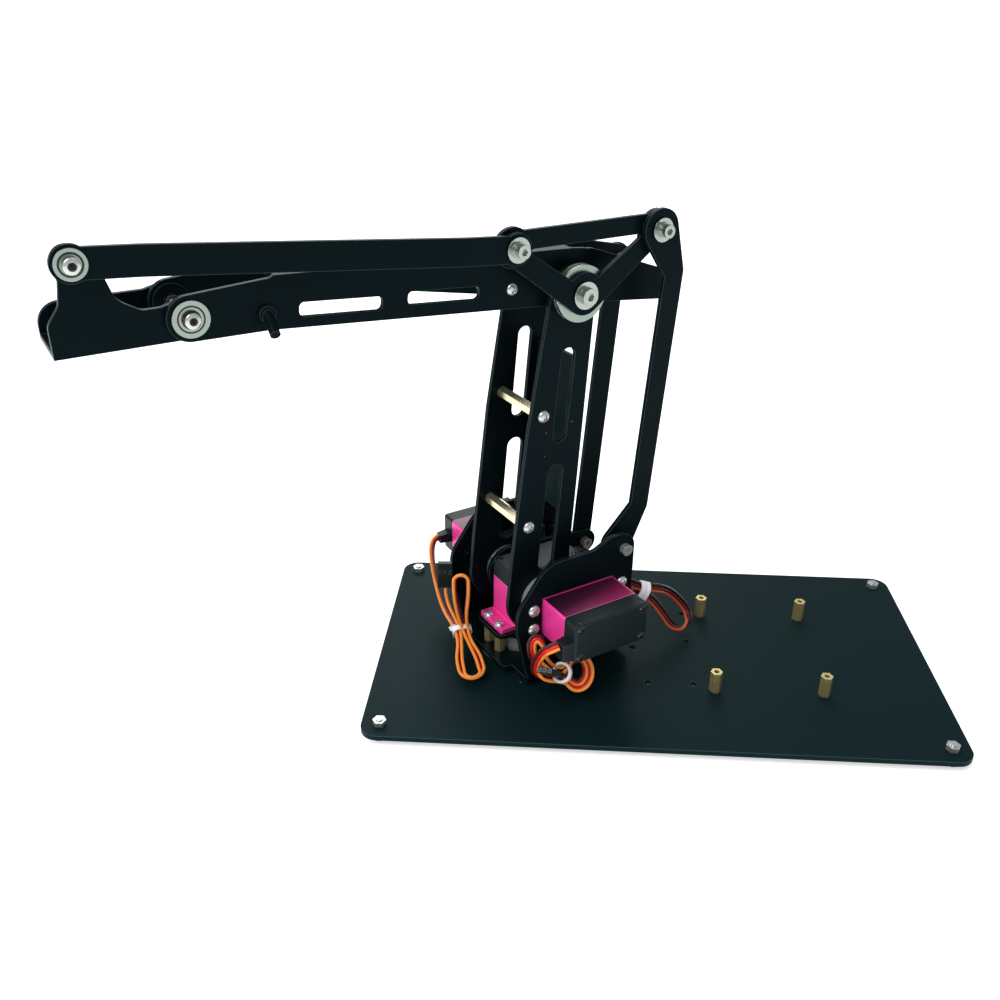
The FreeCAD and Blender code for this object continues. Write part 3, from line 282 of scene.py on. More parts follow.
# painted shade for grooves, holes and recess floors
paintedRecessShade = makePlastic("paintedRecessShade", (0.010, 0.014, 0.014, 1), rough=0.5)
rubberBlack = makePlastic("rubberBlack", (0.012, 0.013, 0.013, 1), rough=0.75)
servoPink = makeAnodised("servoPink", pinkFinish)
# the edge colours below are painted highlights along the edges of covers, screws and plugs
servoCover = makePlastic("servoCover", (0.0042, 0.0105, 0.0112, 1), rough=0.42, edge=(0.05, 0.07, 0.072, 1),
                         rounding=0.0004, shine=0.2)
glossBlack = makePlastic("glossBlack", (0.004, 0.006, 0.006, 1), rough=0.12, edge=(0.02, 0.02, 0.02, 1),
                         rounding=0.0002, shine=0.7)
plugBlack = makePlastic("plugBlack", (0.006, 0.010, 0.011, 1), rough=0.4, edge=(0.05, 0.06, 0.062, 1),
                        rounding=0.0002, shine=0.16)
contactGrey = makePlastic("contactGrey", (0.07, 0.10, 0.11, 1), rough=0.4)
tieWhite = makePlastic("tieWhite", (0.82, 0.82, 0.84, 1), rough=0.4)
wireBrown = makePlastic("wireBrown", (0.060, 0.016, 0.012, 1), **wireLook)
wireRed = makePlastic("wireRed", (0.66, 0.012, 0.018, 1), **wireLook)
wireOrange = makePlastic("wireOrange", (0.82, 0.27, 0.040, 1), **wireLook)
# darker copies of the wire colours: painted shade for the yaw lead, which lies in shadow
paintedShadeBrown = makePlastic("paintedShadeBrown", (0.028, 0.007, 0.007, 1), **wireLook)
paintedShadeRed = makePlastic("paintedShadeRed", (0.075, 0.012, 0.012, 1), **wireLook)
paintedShadeOrange = makePlastic("paintedShadeOrange", (0.46, 0.065, 0.026, 1), **wireLook)
shadedLabelMagenta = makeLabel("shadedLabelMagenta", shadedLabelFinish)
print("finishes made")

cadFinish = {
    baseBlack: ["base_plate", "arm_bridge"],
    plateBlack: ["turntable_bracket", "deck_plate", "arm_plate_near", "arm_plate_far", "crank_plate",
                 "far_link", "near_link", "triangle_plate", "forearm_channel", "upper_rod", "tool_bracket",
                 "arm_bearing_housing", "stub_pin"],
    rubberBlack: ["rubber_feet"],
    steel: ["foot_bolts", "link_foot_pivot", "crank_pin", "tail_pin", "turntable_race", "turntable_rollers",
            "arm_bearing"],
    boltSteel: ["elbow_bolt", "triangle_pivots", "tool_pivots"],
    ringSteel: ["elbow_thrust_bearing", "wrist_bearings", "rod_bearing"],
    paleBrass: ["arm_cross_standoffs", "forearm_brace"],
    brass: ["board_standoffs", "deck_standoffs", "elbow_bushes", "crank_bush", "yaw_servo_shaft",
            "shoulder_servo_shaft", "crank_servo_shaft"],
    hornGrey: ["yaw_pedestal", "yaw_horn", "shoulder_horn", "crank_hub", "crank_horn"],
    servoPink: ["yaw_servo_case", "shoulder_servo_case", "crank_servo_case"],
    servoCover: ["yaw_servo_bottom_cover", "yaw_servo_gear_cover", "shoulder_servo_bottom_cover",
                 "shoulder_servo_gear_cover", "crank_servo_bottom_cover", "crank_servo_gear_cover"],
}
for material, names in cadFinish.items():
    for name in names:
        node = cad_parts[name]
        if node.material_slots:
            node.material_slots[0].material = material
        else:
            node.data.materials.append(material)
print("solids painted")


# camera where the picture was taken
view = {"eye": (-14.9, 419.7, 305.3), "azimuth": 183.43, "elevation": 27.43, "roll": 0.28, "lens": 36.286,
        "sensor": 36, "nearest": 0.01, "farthest": 80}


def placeCamera():
    azimuth, elevation, roll = (math.radians(view[k]) for k in ("azimuth", "elevation", "roll"))
    back = Vector((math.sin(azimuth) * math.cos(elevation), -math.cos(azimuth) * math.cos(elevation),
                   math.sin(elevation)))
    right = Vector((math.cos(azimuth), math.sin(azimuth), 0))
    up = back.cross(right)
    side = math.cos(roll) * right + math.sin(roll) * up
    top = -math.sin(roll) * right + math.cos(roll) * up
    lens = bpy.data.cameras.new("camera")
    lens.lens = view["lens"]
    lens.sensor_width = view["sensor"]
    lens.clip_start = view["nearest"]
    lens.clip_end = view["farthest"]
    camera = bpy.data.objects.new("camera", lens)
    turn = Matrix((side, top, back)).transposed().to_4x4()
    camera.matrix_world = Matrix.Translation(Vector(view["eye"]) * mm) @ turn
    scene.collection.objects.link(camera)
    scene.camera = camera


placeCamera()
print("camera placed")


# servo leads: three wires side by side
leadSize = {"wire": 1.6 * mm, "spacing": 0.96, "sides": 10, "steps": 6}
viewBack = Vector((0.459, 0.760, 0.461))  # the camera's axes in the arm's own directions
viewRight = Vector((-0.857, 0.515, 0.0))
viewUp = Vector((-0.237, -0.395, 0.888))


def onView(right, up):
    return viewRight * right + viewUp * up


def splinePoints(route):
    curve = bpy.data.curves.new("leadLine", "CURVE")
    curve.dimensions = "3D"
    curve.resolution_u = leadSize["steps"]
    spline = curve.splines.new("NURBS")
    spline.points.add(len(route) - 1)
    for point, place in zip(spline.points, route):
        point.co = (*armPoint(*place), 1)
    spline.order_u = 3
    spline.use_endpoint_u = True
    holder = bpy.data.objects.new("leadLine", curve)
    mesh = bpy.data.meshes.new_from_object(holder)
    line = [v.co.copy() for v in mesh.vertices]
    bpy.data.meshes.remove(mesh)
    bpy.data.objects.remove(holder)
    bpy.data.curves.remove(curve)
    return line


def lineLength(line):
    return sum((b - a).length for a, b in zip(line, line[1:]))


def aheadAt(line, i):
    return (line[min(i + 1, len(line) - 1)] - line[max(i - 1, 0)]).normalized()


def circleAt(centre, wide, thin, radius, sides):
    turns = [2 * math.pi * k / sides for k in range(sides)]
    return [centre + (wide * math.cos(turn) + thin * math.sin(turn)) * radius for turn in turns]


def tubeFaces(start, rings, sides):  # walls, then the two ends
    faces = []
    for i in range(rings - 1):
        for k in range(sides):
            a, b = start + i * sides + k, start + i * sides + (k + 1) % sides
            faces.append((a, b, b + sides, a + sides))
    faces.append(tuple(start + k for k in reversed(range(sides))))
    faces.append(tuple(start + (rings - 1) * sides + k for k in range(sides)))
    return faces


def widthAlong(line, twist):  # twist: (share of the length, degrees turned edge-on to the camera)
    back = armWay(*viewBack)
    total, gone, widths = lineLength(line), 0.0, []
    for i, spot in enumerate(line):
        gone += (spot - line[i - 1]).length if i else 0.0
        share = gone / total
        angle = twist[-1][1]
        for (low, first), (high, last) in zip(twist, twist[1:]):
            if low <= share <= high:
                angle = first + (last - first) * (share - low) / (high - low)
                break
        ahead = aheadAt(line, i)
        across = ahead.cross(back).normalized()
        deep = across.cross(ahead)
        widths.append(across * math.cos(math.radians(angle)) + deep * math.sin(math.radians(angle)))
    return widths


def ribbonMesh(name, line, widths, order):
    wire, sides = leadSize["wire"], leadSize["sides"]
    points, faces, slots = [], [], []
    for strand, offset in enumerate((-1, 0, 1)):
        faces += tubeFaces(len(points), len(line), sides)
        slots += [strand] * (len(faces) - len(slots))
        for i, spot in enumerate(line):
            ahead = aheadAt(line, i)
            wide = (widths[i] - ahead * widths[i].dot(ahead)).normalized()
            centre = spot + wide * offset * wire * leadSize["spacing"]
            points += circleAt(centre, wide, ahead.cross(wide), wire / 2, sides)
    return plainMesh(name, points, faces, order, slots, smooth=True)


crankLead = {
    "route": [(15.0, -57.5, 44.0), (17.4, -57.3, 43.4), (19.4, -56.4, 40.6), (20.4, -55.2, 36.4),
              (21.0, -53.0, 30.5), (21.8, -48.6, 22.8), (23.8, -39.8, 17.0), (25.6, -29.5, 14.6),
              (27.0, -19.5, 14.8)],
    "tail": [(27.7, -17.0, 20.6), (27.4, -22.2, 22.6), (27.2, -25.9, 25.6), (27.2, -27.3, 29.6),
             (27.2, -27.4, 33.4)],
    "tie": (28.2, -8.7, 18.0), "low": (36.5, 17.9, 9.4), "high": (27.8, -9.7, 50.4), "pitch": 0.87,
    "lowRadius": 5.8, "lowInner": 3.8, "highRadius": 3.4, "twist": [(0.0, 60), (0.1, 80), (1.0, 80)],
    "limbAlong": (0.34, 0.68), "limbSpread": (0.55, 0.95), "arcSteps": 6,
}
shoulderLead = {
    "front": [(15.0, 55.5, 44.0), (18.0, 54.6, 43.0), (19.6, 52.2, 40.6), (19.8, 49.6, 37.4),
              (19.9, 46.6, 32.4), (19.8, 44.4, 27.6), (18.9, 43.7, 23.2), (17.0, 44.5, 20.3),
              (14.0, 46.1, 18.5), (10.1, 48.0, 18.2)],
    "fold": [(5.8, 46.3, 21.9), (10.0, 43.7, 24.2), (12.6, 41.9, 29.0), (12.7, 40.9, 33.7),
             (13.9, 38.7, 37.3), (16.6, 37.5, 36.8), (17.8, 37.7, 32.9), (16.6, 38.2, 26.8),
             (13.3, 40.6, 21.7), (7.6, 45.2, 18.8)],
    "end": [(3.4, 47.6, 21.6), (6.6, 47.6, 19.6), (10.7, 48.7, 21.7)],
    "tie": (6.9, 47.3, 21.4), "shift": 7.4, "turnSteps": 11,
    "outer": {"right": 6.3, "up": 8.0, "first": 215, "last": 505, "back": 0.0},
    "inner": {"right": 3.8, "up": 5.6, "first": 235, "last": 490, "back": -2.0},
    "twist": [(0.0, 0), (0.13, 0), (0.19, -90), (0.28, -118), (0.44, -118), (0.5, -90), (0.575, -80),
              (0.63, 0), (0.7, 0), (0.77, -90), (0.8, -118), (1.0, -118)],
}
yawLead = {
    "route": [(-36.0, 0.0, 49.5), (-38.6, 0.4, 47.6), (-41.2, 2.2, 44.0), (-44.6, 7.2, 41.2),
              (-47.4, 13.8, 39.6), (-49.4, 20.2, 38.0), (-52.4, 25.6, 37.0), (-56.6, 28.4, 36.2),
              (-62.8, 29.0, 34.4), (-69.4, 28.4, 30.6), (-75.4, 27.8, 25.4), (-81.0, 28.6, 18.8),
              (-82.8, 31.9, 14.6), (-79.2, 36.0, 12.4), (-72.4, 38.7, 12.1), (-67.5, 36.9, 14.5),
              (-65.6, 33.6, 19.1), (-62.0, 29.8, 25.8), (-57.8, 27.6, 30.6), (-53.2, 25.4, 32.6),
              (-48.8, 23.4, 30.8), (-44.8, 22.2, 26.4), (-40.8, 22.4, 21.2), (-36.2, 23.4, 16.6),
              (-31.2, 24.0, 13.4), (-26.0, 24.0, 12.4)],
    "twist": [(0.0, 0), (0.5, 0), (0.62, 180), (1.0, 180)],
}


def limbTurn(end, radius, first, last, side):  # out along one limb of the hank, round its end, and back
    origin = Vector(crankLead["tie"])
    along = Vector(end) - origin
    reach = along.length - radius - leadSize["wire"] / mm / 2
    along.normalize()
    wide = (viewRight - along * viewRight.dot(along)).normalized()
    shares = zip(crankLead["limbAlong"], crankLead["limbSpread"])
    limb = [(reach * far, side * radius * spread) for far, spread in shares]
    points = [(0.0, first)] + limb
    steps = crankLead["arcSteps"]
    for k in range(steps + 1):
        turn = math.pi * (k / steps - 0.5)
        points.append((reach + radius * math.cos(turn), -side * radius * math.sin(turn)))
    points += [(far, -spread) for far, spread in reversed(limb)] + [(0.0, last)]
    return [tuple(origin + along * a + wide * b) for a, b in points]


def ovalTurn(turn):  # one turn of the coil, as the camera sees it
    centre = Vector(shoulderLead["tie"]) + viewRight * shoulderLead["shift"]
    steps, points = shoulderLead["turnSteps"], []
    for k in range(steps + 1):
        angle = math.radians(turn["first"] + (turn["last"] - turn["first"]) * k / steps)
        points.append(tuple(centre + viewRight * turn["right"] * math.cos(angle)
                            + viewUp * turn["up"] * math.sin(angle) + viewBack * turn["back"]))
    return points


def crankRoute():
    lead, s = crankLead, crankLead["pitch"]
    route = lead["route"] + limbTurn(lead["low"], lead["lowRadius"], -3 * s, 3 * s, -1)
    route += limbTurn(lead["high"], lead["highRadius"], 3 * s, s, 1)[1:]
    route += limbTurn(lead["low"], lead["lowInner"], s, -s, 1)[1:]
    return route + lead["tail"]


def shoulderRoute():
    lead = shoulderLead
    return lead["front"] + ovalTurn(lead["outer"]) + lead["fold"] + ovalTurn(lead["inner"]) + lead["end"]


def makeLead(name, lead, route, order, nodes):
    line = splinePoints(route)
    piece = ribbonMesh(name, line, widthAlong(line, lead["twist"]), order)
    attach(piece, "turntable")
    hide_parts(*nodes)
    print(name, "is", round(lineLength(line), 4), "m long")
    tuple(armPoint(*route[0]))


# small solids gathered in the arm's millimetres
class Shape:
    def __init__(self):
        self.points, self.faces, self.slots = [], [], []

    def add(self, points, faces, slot=0):
        start = len(self.points)
        self.points += points
        self.faces += [tuple(start + k for k in face) for face in faces]
        self.slots += [slot] * len(faces)

    def box(self, centre, axes, halves, slot=0, taper=1.0):
        centre, points = Vector(centre), []
        for a in (-1, 1):
            for b in (-1, 1):
                for c in (-1, 1):
                    end = taper if a > 0 else 1.0
                    points.append(centre + axes[0] * a * halves[0] + axes[1] * b * end * halves[1]
                                  + axes[2] * c * end * halves[2])
        faces = [(0, 1, 3, 2), (4, 6, 7, 5), (0, 4, 5, 1), (2, 3, 7, 6), (0, 2, 6, 4), (1, 5, 7, 3)]
        self.add(points, faces, slot)

    def hoop(self, points, steps, slot=0):  # four-cornered section carried round a closed loop
        faces = []
        for k in range(steps):
            here, there = 4 * k, 4 * ((k + 1) % steps)
            for j in range(4):
                beside = (j + 1) % 4
                faces.append((here + j, here + beside, there + beside, there + j))
        self.add(points, faces, slot)

    def band(self, centre, axes, halves, width, wall, steps=40, squareness=0.7):  # axes[0] along the bundle
        points = []
        for k in range(steps):
            turn = 2 * math.pi * k / steps
            wide, thin = (math.copysign(abs(q) ** squareness, q) for q in (math.cos(turn), math.sin(turn)))
            for outward, end in ((0, -1), (0, 1), (wall, 1), (wall, -1)):
                points.append(Vector(centre) + axes[0] * end * width / 2
                              + axes[1] * wide * (halves[0] + outward)
                              + axes[2] * thin * (halves[1] + outward))
        self.hoop(points, steps)

    def tube(self, line, radius, sides=12):
        points, wide = [], None
        for i, spot in enumerate(line):
            ahead = aheadAt(line, i)
            wide = ahead.orthogonal() if wide is None else wide - ahead * wide.dot(ahead)
            wide.normalize()
            points += circleAt(spot, wide, ahead.cross(wide), radius, sides)
        self.add(points, tubeFaces(0, len(line), sides))

    def ring(self, axle, low, high, outer, inner, slot=0, steps=48):  # washer on an axle across the arm
        points = []
        for k in range(steps):
            c, s = math.cos(2 * math.pi * k / steps), math.sin(2 * math.pi * k / steps)
            for r, v in ((inner, low), (inner, high), (outer, high), (outer, low)):
                points.append(Vector((axle[0] + r * c, v, axle[1] + r * s)))
        self.hoop(points, steps, slot)

    def make(self, name, materials, smooth=False):
        points = [armPoint(*p) for p in self.points]
        piece = plainMesh(name, points, self.faces, materials, self.slots, smooth)
        edit = bmesh.new()
        edit.from_mesh(piece.data)
        bmesh.ops.recalc_face_normals(edit, faces=edit.faces)
        edit.to_mesh(piece.data)
        edit.free()
        return piece


def squareAxes(along, wide):
    along, wide = Vector(along).normalized(), Vector(wide)
    wide = (wide - along * wide.dot(along)).normalized()
    return along, wide, along.cross(wide)


plugs = {"length": 14.0, "width": 7.6, "thick": 2.6, "pitch": 2.5, "hole": 1.0, "holeDepth": 0.1, "lip": 1.8,
         "lipDepth": 0.06, "rib": 0.5, "ribBack": 1.0, "ribSink": 0.3, "latch": (1.4, 0.7, 0.04),
         "latchBack": 5.0,
         "places": {"crankPlug": ((27.2, -27.4, 40.4), (0, 0, 1), viewRight),
                    "shoulderPlug": ((15.5, 50.9, 26.4), (0.682, 0.316, 0.661), (-0.516, 0.828, 0.230)),
                    "yawPlug": ((-19.0, 24.0, 12.4), (1, 0, 0), (0, 1, 0))}}


def makePlug(name):
    place, along, wide = plugs["places"][name]
    centre, axes = Vector(place), squareAxes(along, wide)
    long, half, thin = plugs["length"] / 2, plugs["width"] / 2, plugs["thick"] / 2
    rib, lip, hole = plugs["rib"] / 2, plugs["lip"] / 2, plugs["hole"] / 2
    shape = Shape()
    shape.box(centre, axes, (long, half - rib, thin))
    for side in (-1, 1):  # ribs down both edges
        shape.box(centre + axes[1] * side * (half - rib) - axes[0] * plugs["ribBack"], axes,
                  (long - plugs["ribBack"], rib, thin - plugs["ribSink"]))
    for k in (-1, 0, 1):
        mouth = centre + axes[0] * long + axes[1] * k * plugs["pitch"]
        shape.box(mouth, axes, (plugs["lipDepth"], lip, lip), 1)
        # painted shade in the contact holes
        shape.box(mouth, axes, (plugs["holeDepth"], hole, hole), 2)
        for side in (-1, 1):  # latch windows on both broad faces, painted shade inside
            window = mouth - axes[0] * plugs["latchBack"] + axes[2] * side * thin
            shape.box(window, axes, plugs["latch"], 2)
    piece = shape.make(name, [plugBlack, contactGrey, paintedRecessShade])
    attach(piece, "turntable")
    return piece


leadJobs = [
    ("crankLead", crankLead, crankRoute(), (wireBrown, wireRed, wireOrange),
     ["crank_lead", "crank_lead_hank"]),
    ("shoulderLead", shoulderLead, shoulderRoute(), (wireOrange, wireRed, wireBrown),
     ["shoulder_lead", "shoulder_lead_coil"]),
    ("yawLead", yawLead, yawLead["route"], (paintedShadeBrown, paintedShadeRed, paintedShadeOrange), ["yaw_lead"]),
]
for name, lead, route, order, nodes in leadJobs:
    plug = makePlug(name.replace("Lead", "Plug"))
    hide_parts("lead_plugs")
    makeLead(name, lead, route, order, nodes)
print("leads laid")


ties = {
    "width": 2.6, "wall": 0.8,
    "crank": {"halves": (4.1, 3.0), "tail": (1.8, 1.1, 0.4), "tailAt": (-4.6, 1.6), "tailWay": (1.0, 0.5)},
    "yaw": {"place": (-55.0, 26.8, 34.0), "along": (-0.86, 0.42, -0.3), "wide": (-0.12, -0.2, -0.97),
            "halves": (4.3, 3.0), "apart": 1.25, "narrower": 0.9, "tail": (2.2, 1.1, 0.4),
            "tailAt": (-1.2, -5.0), "tailWay": (0.3, 0.9)},
    "ring": {"place": (8.3, 49.6, 22.8), "radius": 4.2, "tube": 0.7, "turns": 2.1, "pitch": 1.2, "steps": 72},
}


def makeTies():  # a tail's place and way are right and up in the picture
    shape = Shape()
    crankTie, middle = ties["crank"], Vector(crankLead["tie"])
    axes = squareAxes(Vector(crankLead["low"]) - middle, viewRight)
    shape.band(middle, axes, crankTie["halves"], ties["width"], ties["wall"])
    axes = squareAxes(onView(*crankTie["tailWay"]), viewUp)
    shape.box(middle + onView(*crankTie["tailAt"]), axes, crankTie["tail"])
    yawTie, middle = ties["yaw"], Vector(ties["yaw"]["place"])
    axes = squareAxes(yawTie["along"], yawTie["wide"])
    width = ties["width"] * yawTie["narrower"]
    for k in (-1, 1):
        shape.band(middle + axes[0] * k * yawTie["apart"], axes, yawTie["halves"], width, ties["wall"])
    axes = squareAxes(onView(*yawTie["tailWay"]), viewRight)
    shape.box(middle + onView(*yawTie["tailAt"]), axes, yawTie["tail"])
    ring, middle, helix = ties["ring"], Vector(ties["ring"]["place"]), []
    axes = squareAxes(plugs["places"]["shoulderPlug"][1], viewUp)
    for k in range(ring["steps"] + 1):
        share = k / ring["steps"]
        turn = 2 * math.pi * ring["turns"] * share
        lift = axes[0] * ring["pitch"] * (share - 0.5) * ring["turns"]
        helix.append(middle + lift + (axes[1] * math.cos(turn) + axes[2] * math.sin(turn)) * ring["radius"])
    shape.tube(helix, ring["tube"])
    piece = shape.make("leadTies", [tieWhite], smooth=True)
    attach(piece, "turntable")
    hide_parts("lead_ties")


reliefs = [
    {"root": (9.0, 55.6, 40.6), "way": (1, 0, 0), "size": (5.4, 7.2, 9.6), "taper": 0.86},
    {"root": (9.0, -57.5, 43.2), "way": (1, 0, 0), "size": (6.0, 5.4, 5.4), "taper": 0.8},
    {"root": (-30.0, 0.0, 49.5), "way": (-1, 0, 0), "size": (6.0, 5.0, 3.6), "taper": 0.8},
]


def makeReliefs():
    shape = Shape()
    for relief in reliefs:
        axes = squareAxes(relief["way"], (0, 1, 0))
        halves = [k / 2 for k in relief["size"]]
        shape.box(Vector(relief["root"]) + axes[0] * halves[0], axes, halves, taper=relief["taper"])
    piece = shape.make("leadReliefs", [servoCover])
    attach(piece, "turntable")
    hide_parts("lead_reliefs")


makeTies()
makeReliefs()
print("ties and strain reliefs made")


# screws and nuts
domeLook = {"segments": 28, "rings": 18, "cutter": 4.0}  # the cutter below the dome is this many heads wide
recessTurns = {"cross": (0, 90), "star": (0, 60, 120)}
headTitles = ["Head Radius", "Head Height", "Recess Length", "Recess Width", "Recess Depth"]
nutTitles = ["Nut Radius", "Nut Height", "Tip Radius", "Tip Height"]


def vectorOf(sheet, x=0.0, y=0.0, z=0.0):
    return sheet.node("ShaderNodeCombineXYZ", {}, {0: x, 1: y, 2: z})["Vector"]


def moved(sheet, geometry, **change):
    return sheet.node("GeometryNodeTransform", {}, {"Geometry": geometry, **change})["Geometry"]


def recessCuts(sheet, given, turns):
    cuts = []
    for turn in turns:
        size = vectorOf(sheet, given["Recess Length"], given["Recess Width"], given["Recess Depth"] * 2.0)
        bar = sheet.node("GeometryNodeMeshCube", {}, {"Size": size})["Mesh"]
        lift = vectorOf(sheet, z=given["Head Height"])
        cuts.append(moved(sheet, bar, Translation=lift, Rotation=(0, 0, math.radians(turn))))
    return cuts


def domeHead(sheet, given, turns):
    ball = {"Segments": domeLook["segments"], "Rings": domeLook["rings"], "Radius": 1.0}
    size = vectorOf(sheet, given["Head Radius"], given["Head Radius"], given["Head Height"])
    dome = moved(sheet, sheet.node("GeometryNodeMeshUVSphere", {}, ball)["Mesh"], Scale=size)
    wide, tall = given["Head Radius"] * domeLook["cutter"], given["Head Height"] * domeLook["cutter"]
    cutter = sheet.node("GeometryNodeMeshCube", {}, {"Size": vectorOf(sheet, wide, wide, tall)})["Mesh"]
    cutter = moved(sheet, cutter, Translation=vectorOf(sheet, z=tall * -0.5))
    cuts = [cutter] + recessCuts(sheet, given, turns)
    settings = {"operation": "DIFFERENCE", "solver": "EXACT"}
    return sheet.node("GeometryNodeMeshBoolean", settings, {0: dome, 1: cuts})["Mesh"]


def crossHead(sheet, given):
    return domeHead(sheet, given, recessTurns["cross"])


def starHead(sheet, given):
    return domeHead(sheet, given, recessTurns["star"])


def hexNut(sheet, given):
    parts = []
    for sides, radius, height in ((6, "Nut Radius", "Nut Height"), (16, "Tip Radius", "Tip Height")):
        size = {"Vertices": sides, "Radius": given[radius], "Depth": given[height]}
        drum = sheet.node("GeometryNodeMeshCylinder", {}, size)["Mesh"]
        parts.append(moved(sheet, drum, Translation=vectorOf(sheet, z=given[height] / 2.0)))
    return sheet.node("GeometryNodeJoinGeometry", {}, {"Geometry": parts})["Geometry"]


def fastenerTree(name, titles, shape):
    tree = bpy.data.node_groups.new(name, "GeometryNodeTree")
    tree.interface.new_socket("Places", in_out="INPUT", socket_type="NodeSocketGeometry")
    for title in titles:
        tree.interface.new_socket(title, in_out="INPUT", socket_type="NodeSocketFloat")
    tree.interface.new_socket("Finish", in_out="INPUT", socket_type="NodeSocketMaterial")
    tree.interface.new_socket("Fasteners", in_out="OUTPUT", socket_type="NodeSocketGeometry")
    sheet = Sheet(tree)
    given = sheet.node("NodeGroupInput")
    facing = sheet.node("GeometryNodeInputNamedAttribute", {"data_type": "FLOAT_VECTOR"}, {"Name": "facing"})
    turn = sheet.node("FunctionNodeAlignRotationToVector", {"axis": "Z"}, {"Vector": facing["Attribute"]})
    values = {"Points": given["Places"], "Instance": shape(sheet, given), "Rotation": turn["Rotation"]}
    placed = sheet.node("GeometryNodeInstanceOnPoints", {}, values)["Instances"]
    real = sheet.node("GeometryNodeRealizeInstances", {}, {"Geometry": placed})["Geometry"]
    painted = sheet.node("GeometryNodeSetMaterial", {}, {"Geometry": real, "Material": given["Finish"]})
    sheet.node("NodeGroupOutput", {}, {"Fasteners": painted["Geometry"]})
    return tree


crossTree = fastenerTree("crossHeadScrews", headTitles, crossHead)
starTree = fastenerTree("starHeadScrews", headTitles, starHead)
nutTree = fastenerTree("hexNuts", nutTitles, hexNut)


def setFasteners(name, job):  # places as (point, facing), sizes in millimetres in the order of the titles
    tree, places = job["tree"], job["places"]
    mesh = bpy.data.meshes.new(name + "Places")
    mesh.from_pydata([armPoint(*point) for point, way in places], [], [])
    facing = mesh.attributes.new("facing", "FLOAT_VECTOR", "POINT")
    facing.data.foreach_set("vector", [k for point, way in places for k in armWay(*way)])
    holder = addPiece(name + "Places", mesh)
    modifier = holder.modifiers.new("fasteners", "NODES")
    modifier.node_group = tree
    values = dict(zip(job["titles"], [k * mm for k in job["sizes"]]), Finish=job["finish"])
    for socket in tree.interface.items_tree:
        if socket.in_out == "INPUT" and socket.name in values:
            modifier[socket.identifier] = values[socket.name]
    graph = bpy.context.evaluated_depsgraph_get()
    made = bpy.data.meshes.new_from_object(holder.evaluated_get(graph))
    bpy.data.objects.remove(holder)
    bpy.data.meshes.remove(mesh)
    made.name = name
    made.polygons.foreach_set("use_smooth", [True] * len(made.polygons))
    made.set_sharp_from_angle(angle=sharpFrom["fasteners"])
    piece = addPiece(name, made)
    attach(piece, job["body"])
    return piece


flange = {"near": 33.5, "far": -33.5, "inside": -29.0, "along": (13.75, -35.75), "up": (39.0, 49.0)}
covers = {"along": (6.0, -28.0), "yawAlong": (7.0, -27.0), "side": 7.5, "axis": 44.0, "near": 58.0,
          "far": -60.0, "top": 52.0}
yawEars = {"along": (14.75, -34.75), "side": 5.0, "top": 25.5}
armPosts = {"axles": ((7.77, 83.71), (1.24, 136.55)), "side": 18.3}
bracePost = {"axles": ((14.88, 193.25),), "side": 13.4}
wristEnd = {"axle": (143.86, 201.01), "cap": 16.7, "starFloor": 16.8,
            "grooves": ((14.3, 14.42, 4.9, 4.3), (14.3, 14.42, 3.4, 2.85)),  # from, to, outer, inner radius
            "shield": (-11.12, -10.9, 6.75, 2.9)}
rodEnd = {"axle": (178.96, 224.51), "cap": 17.9, "starFloor": 18.0, "groove": (15.5, 15.62, 4.1, 3.4)}
nearWay, farWay, upWay = (0, 1, 0), (0, -1, 0), (0, 0, 1)


def flangePlaces(v, way):
    return [((u, v, z), way) for u in flange["along"] for z in flange["up"]]


def coverPlaces(v, way):
    return [((u, v, covers["axis"] + k * covers["side"]), way) for u in covers["along"] for k in (-1, 1)]


def topPlaces(along, side, top):
    return [((u, k * side, top), upWay) for u in along for k in (-1, 1)]


def postPlaces(post):
    return [((u, k * post["side"], z), (0, k, 0)) for u, z in post["axles"] for k in (-1, 1)]


def capPlaces():
    return [((end["axle"][0], end["cap"], end["axle"][1]), nearWay) for end in (wristEnd, rodEnd)]


fasteners = {
    "flangeScrews": {"tree": crossTree, "titles": headTitles, "sizes": (3.0, 1.9, 3.2, 0.75, 1.2),
                     "finish": steel, "body": "turntable",
                     "places": flangePlaces(flange["near"], nearWay) + flangePlaces(flange["far"], farWay)},
    "flangeNuts": {"tree": nutTree, "titles": nutTitles, "sizes": (3.2, 2.4, 1.45, 3.2),
                   "finish": darkSteel, "body": "turntable",
                   "places": flangePlaces(flange["inside"], nearWay)},
    "yawEarScrews": {"tree": crossTree, "titles": headTitles, "sizes": (2.7, 1.7, 2.9, 0.7, 1.1),
                     "finish": steel, "body": "turntable",
                     "places": topPlaces(yawEars["along"], yawEars["side"], yawEars["top"])},
    "coverScrews": {"tree": crossTree, "titles": headTitles, "sizes": (2.7, 2.6, 2.6, 0.6, 1.2),
                    "finish": glossBlack, "body": "turntable",
                    "places": coverPlaces(covers["near"], nearWay) + coverPlaces(covers["far"], farWay)
                    + topPlaces(covers["yawAlong"], covers["side"], covers["top"])},
    "armScrews": {"tree": crossTree, "titles": headTitles, "sizes": (2.9, 1.9, 3.1, 0.75, 1.2),
                  "finish": steel, "body": "lower_arm", "places": postPlaces(armPosts)},
    "braceScrews": {"tree": crossTree, "titles": headTitles, "sizes": (2.6, 1.7, 2.8, 0.7, 1.1),
                    "finish": steel, "body": "forearm", "places": postPlaces(bracePost)},
    "toolScrewCaps": {"tree": starTree, "titles": headTitles, "sizes": (2.85, 0.9, 2.9, 1.3, 0.8),
                      "finish": steel, "body": "tool", "places": capPlaces()},
}
for name, job in fasteners.items():
    piece = setFasteners(name, job)
print("screws set")


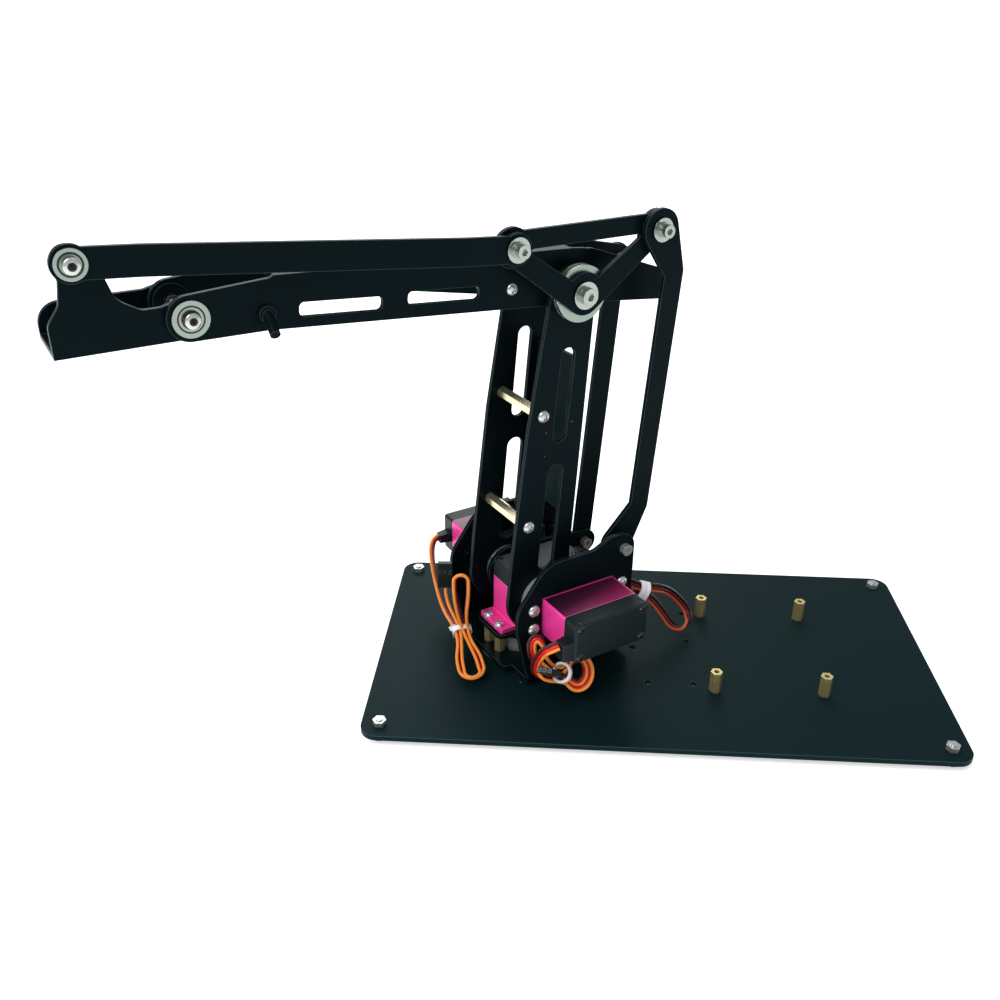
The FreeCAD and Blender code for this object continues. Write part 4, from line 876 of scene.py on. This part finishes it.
# blank servo labels
label = {"along": (-29.5, 8.5), "top": 54.0, "thick": 0.05,
         "across": {"shoulderLabel": (34.0, 50.8), "crankLabel": (-36.0, -52.8)}}


def makeServoLabel(name):
    shape = Shape()
    u0, u1 = label["along"]
    v0, v1 = label["across"][name]
    shape.box(((u0 + u1) / 2, (v0 + v1) / 2, label["top"]), squareAxes((1, 0, 0), (0, 1, 0)),
              ((u1 - u0) / 2, abs(v1 - v0) / 2, label["thick"]))
    piece = shape.make(name, [shadedLabelMagenta])
    corner = armPoint(u1, v0, 0)
    ahead, across = armPoint(u0 - u1, 0, 0), armPoint(0, v1 - v0, 0)
    layer = piece.data.uv_layers.new(name="labelMap")
    for loop in piece.data.loops:
        step = piece.data.vertices[loop.vertex_index].co - corner
        layer.data[loop.index].uv = [step.dot(way) / way.length_squared for way in (ahead, across)]
    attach(piece, "turntable")


starBar = (1.35, 0.58, 0.08)


def makeBearingFaces():
    shape = Shape()
    # painted shade in the bearings' grooves
    for groove in wristEnd["grooves"]:
        shape.ring(wristEnd["axle"], *groove)
    shape.ring(wristEnd["axle"], *wristEnd["shield"], 1)  # dark shield on the far bearing
    piece = shape.make("wristGrooves", [paintedRecessShade, plateBlack])
    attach(piece, "forearm")
    shape = Shape()
    shape.ring(rodEnd["axle"], *rodEnd["groove"])
    piece = shape.make("rodGroove", [paintedRecessShade])
    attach(piece, "upper_rod")
    shape = Shape()
    for end in (wristEnd, rodEnd):  # painted shade on the floors of the star recesses
        u, z = end["axle"]
        for turn in recessTurns["star"]:
            c, s = math.cos(math.radians(turn)), math.sin(math.radians(turn))
            shape.box((u, end["starFloor"], z), squareAxes((c, 0, s), (-s, 0, c)), starBar)
    piece = shape.make("starFloors", [paintedRecessShade])
    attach(piece, "tool")


for name in label["across"]:
    makeServoLabel(name)
makeBearingFaces()
print("labels and bearing faces made")


# floor and light
light = {"floor": (0.9, 0.9, 0.9, 1), "floorRough": 0.9, "glow": 0.55, "glowColour": (1, 1, 1, 1),
         "sky": (0.95, 0.98, 1.0, 1), "skyStrength": 0.55, "reach": 25.0}


def makeStage():
    size = light["reach"]
    material, sheet = startMaterial("floorPale")
    sheet.finish({"Base Color": light["floor"], "Roughness": light["floorRough"],
                  "Emission Color": light["glowColour"], "Emission Strength": light["glow"]})
    floor = plainMesh("floor", [(-size, -size, 0), (size, -size, 0), (size, size, 0), (-size, size, 0)],
                      [(0, 1, 2, 3)], [material])
    world = bpy.data.worlds.new("studio")
    scene.world = world
    world.use_nodes = True
    world.node_tree.nodes["Background"].inputs["Color"].default_value = light["sky"]
    world.node_tree.nodes["Background"].inputs["Strength"].default_value = light["skyStrength"]
    scene.view_settings.view_transform = "Standard"


softBoxes = [
    {"name": "keyLight", "place": (0.6, 0.7, 1.2), "aim": (0, 0, 0.08), "size": 0.9, "watts": 14},
    {"name": "farLight", "place": (0.3, -1.1, 1.0), "aim": (0, 0, 0.08), "size": 1.2, "watts": 12},
]


def makeLights():
    for box in softBoxes:
        lamp = bpy.data.lights.new(box["name"], "AREA")
        lamp.size = box["size"]
        lamp.energy = box["watts"]
        holder = bpy.data.objects.new(box["name"], lamp)
        away = Vector(box["place"]) - Vector(box["aim"])
        holder.location = box["place"]
        holder.rotation_euler = away.to_track_quat("Z", "Y").to_euler()
        scene.collection.objects.link(holder)


makeStage()
makeLights()
print("stage lit")
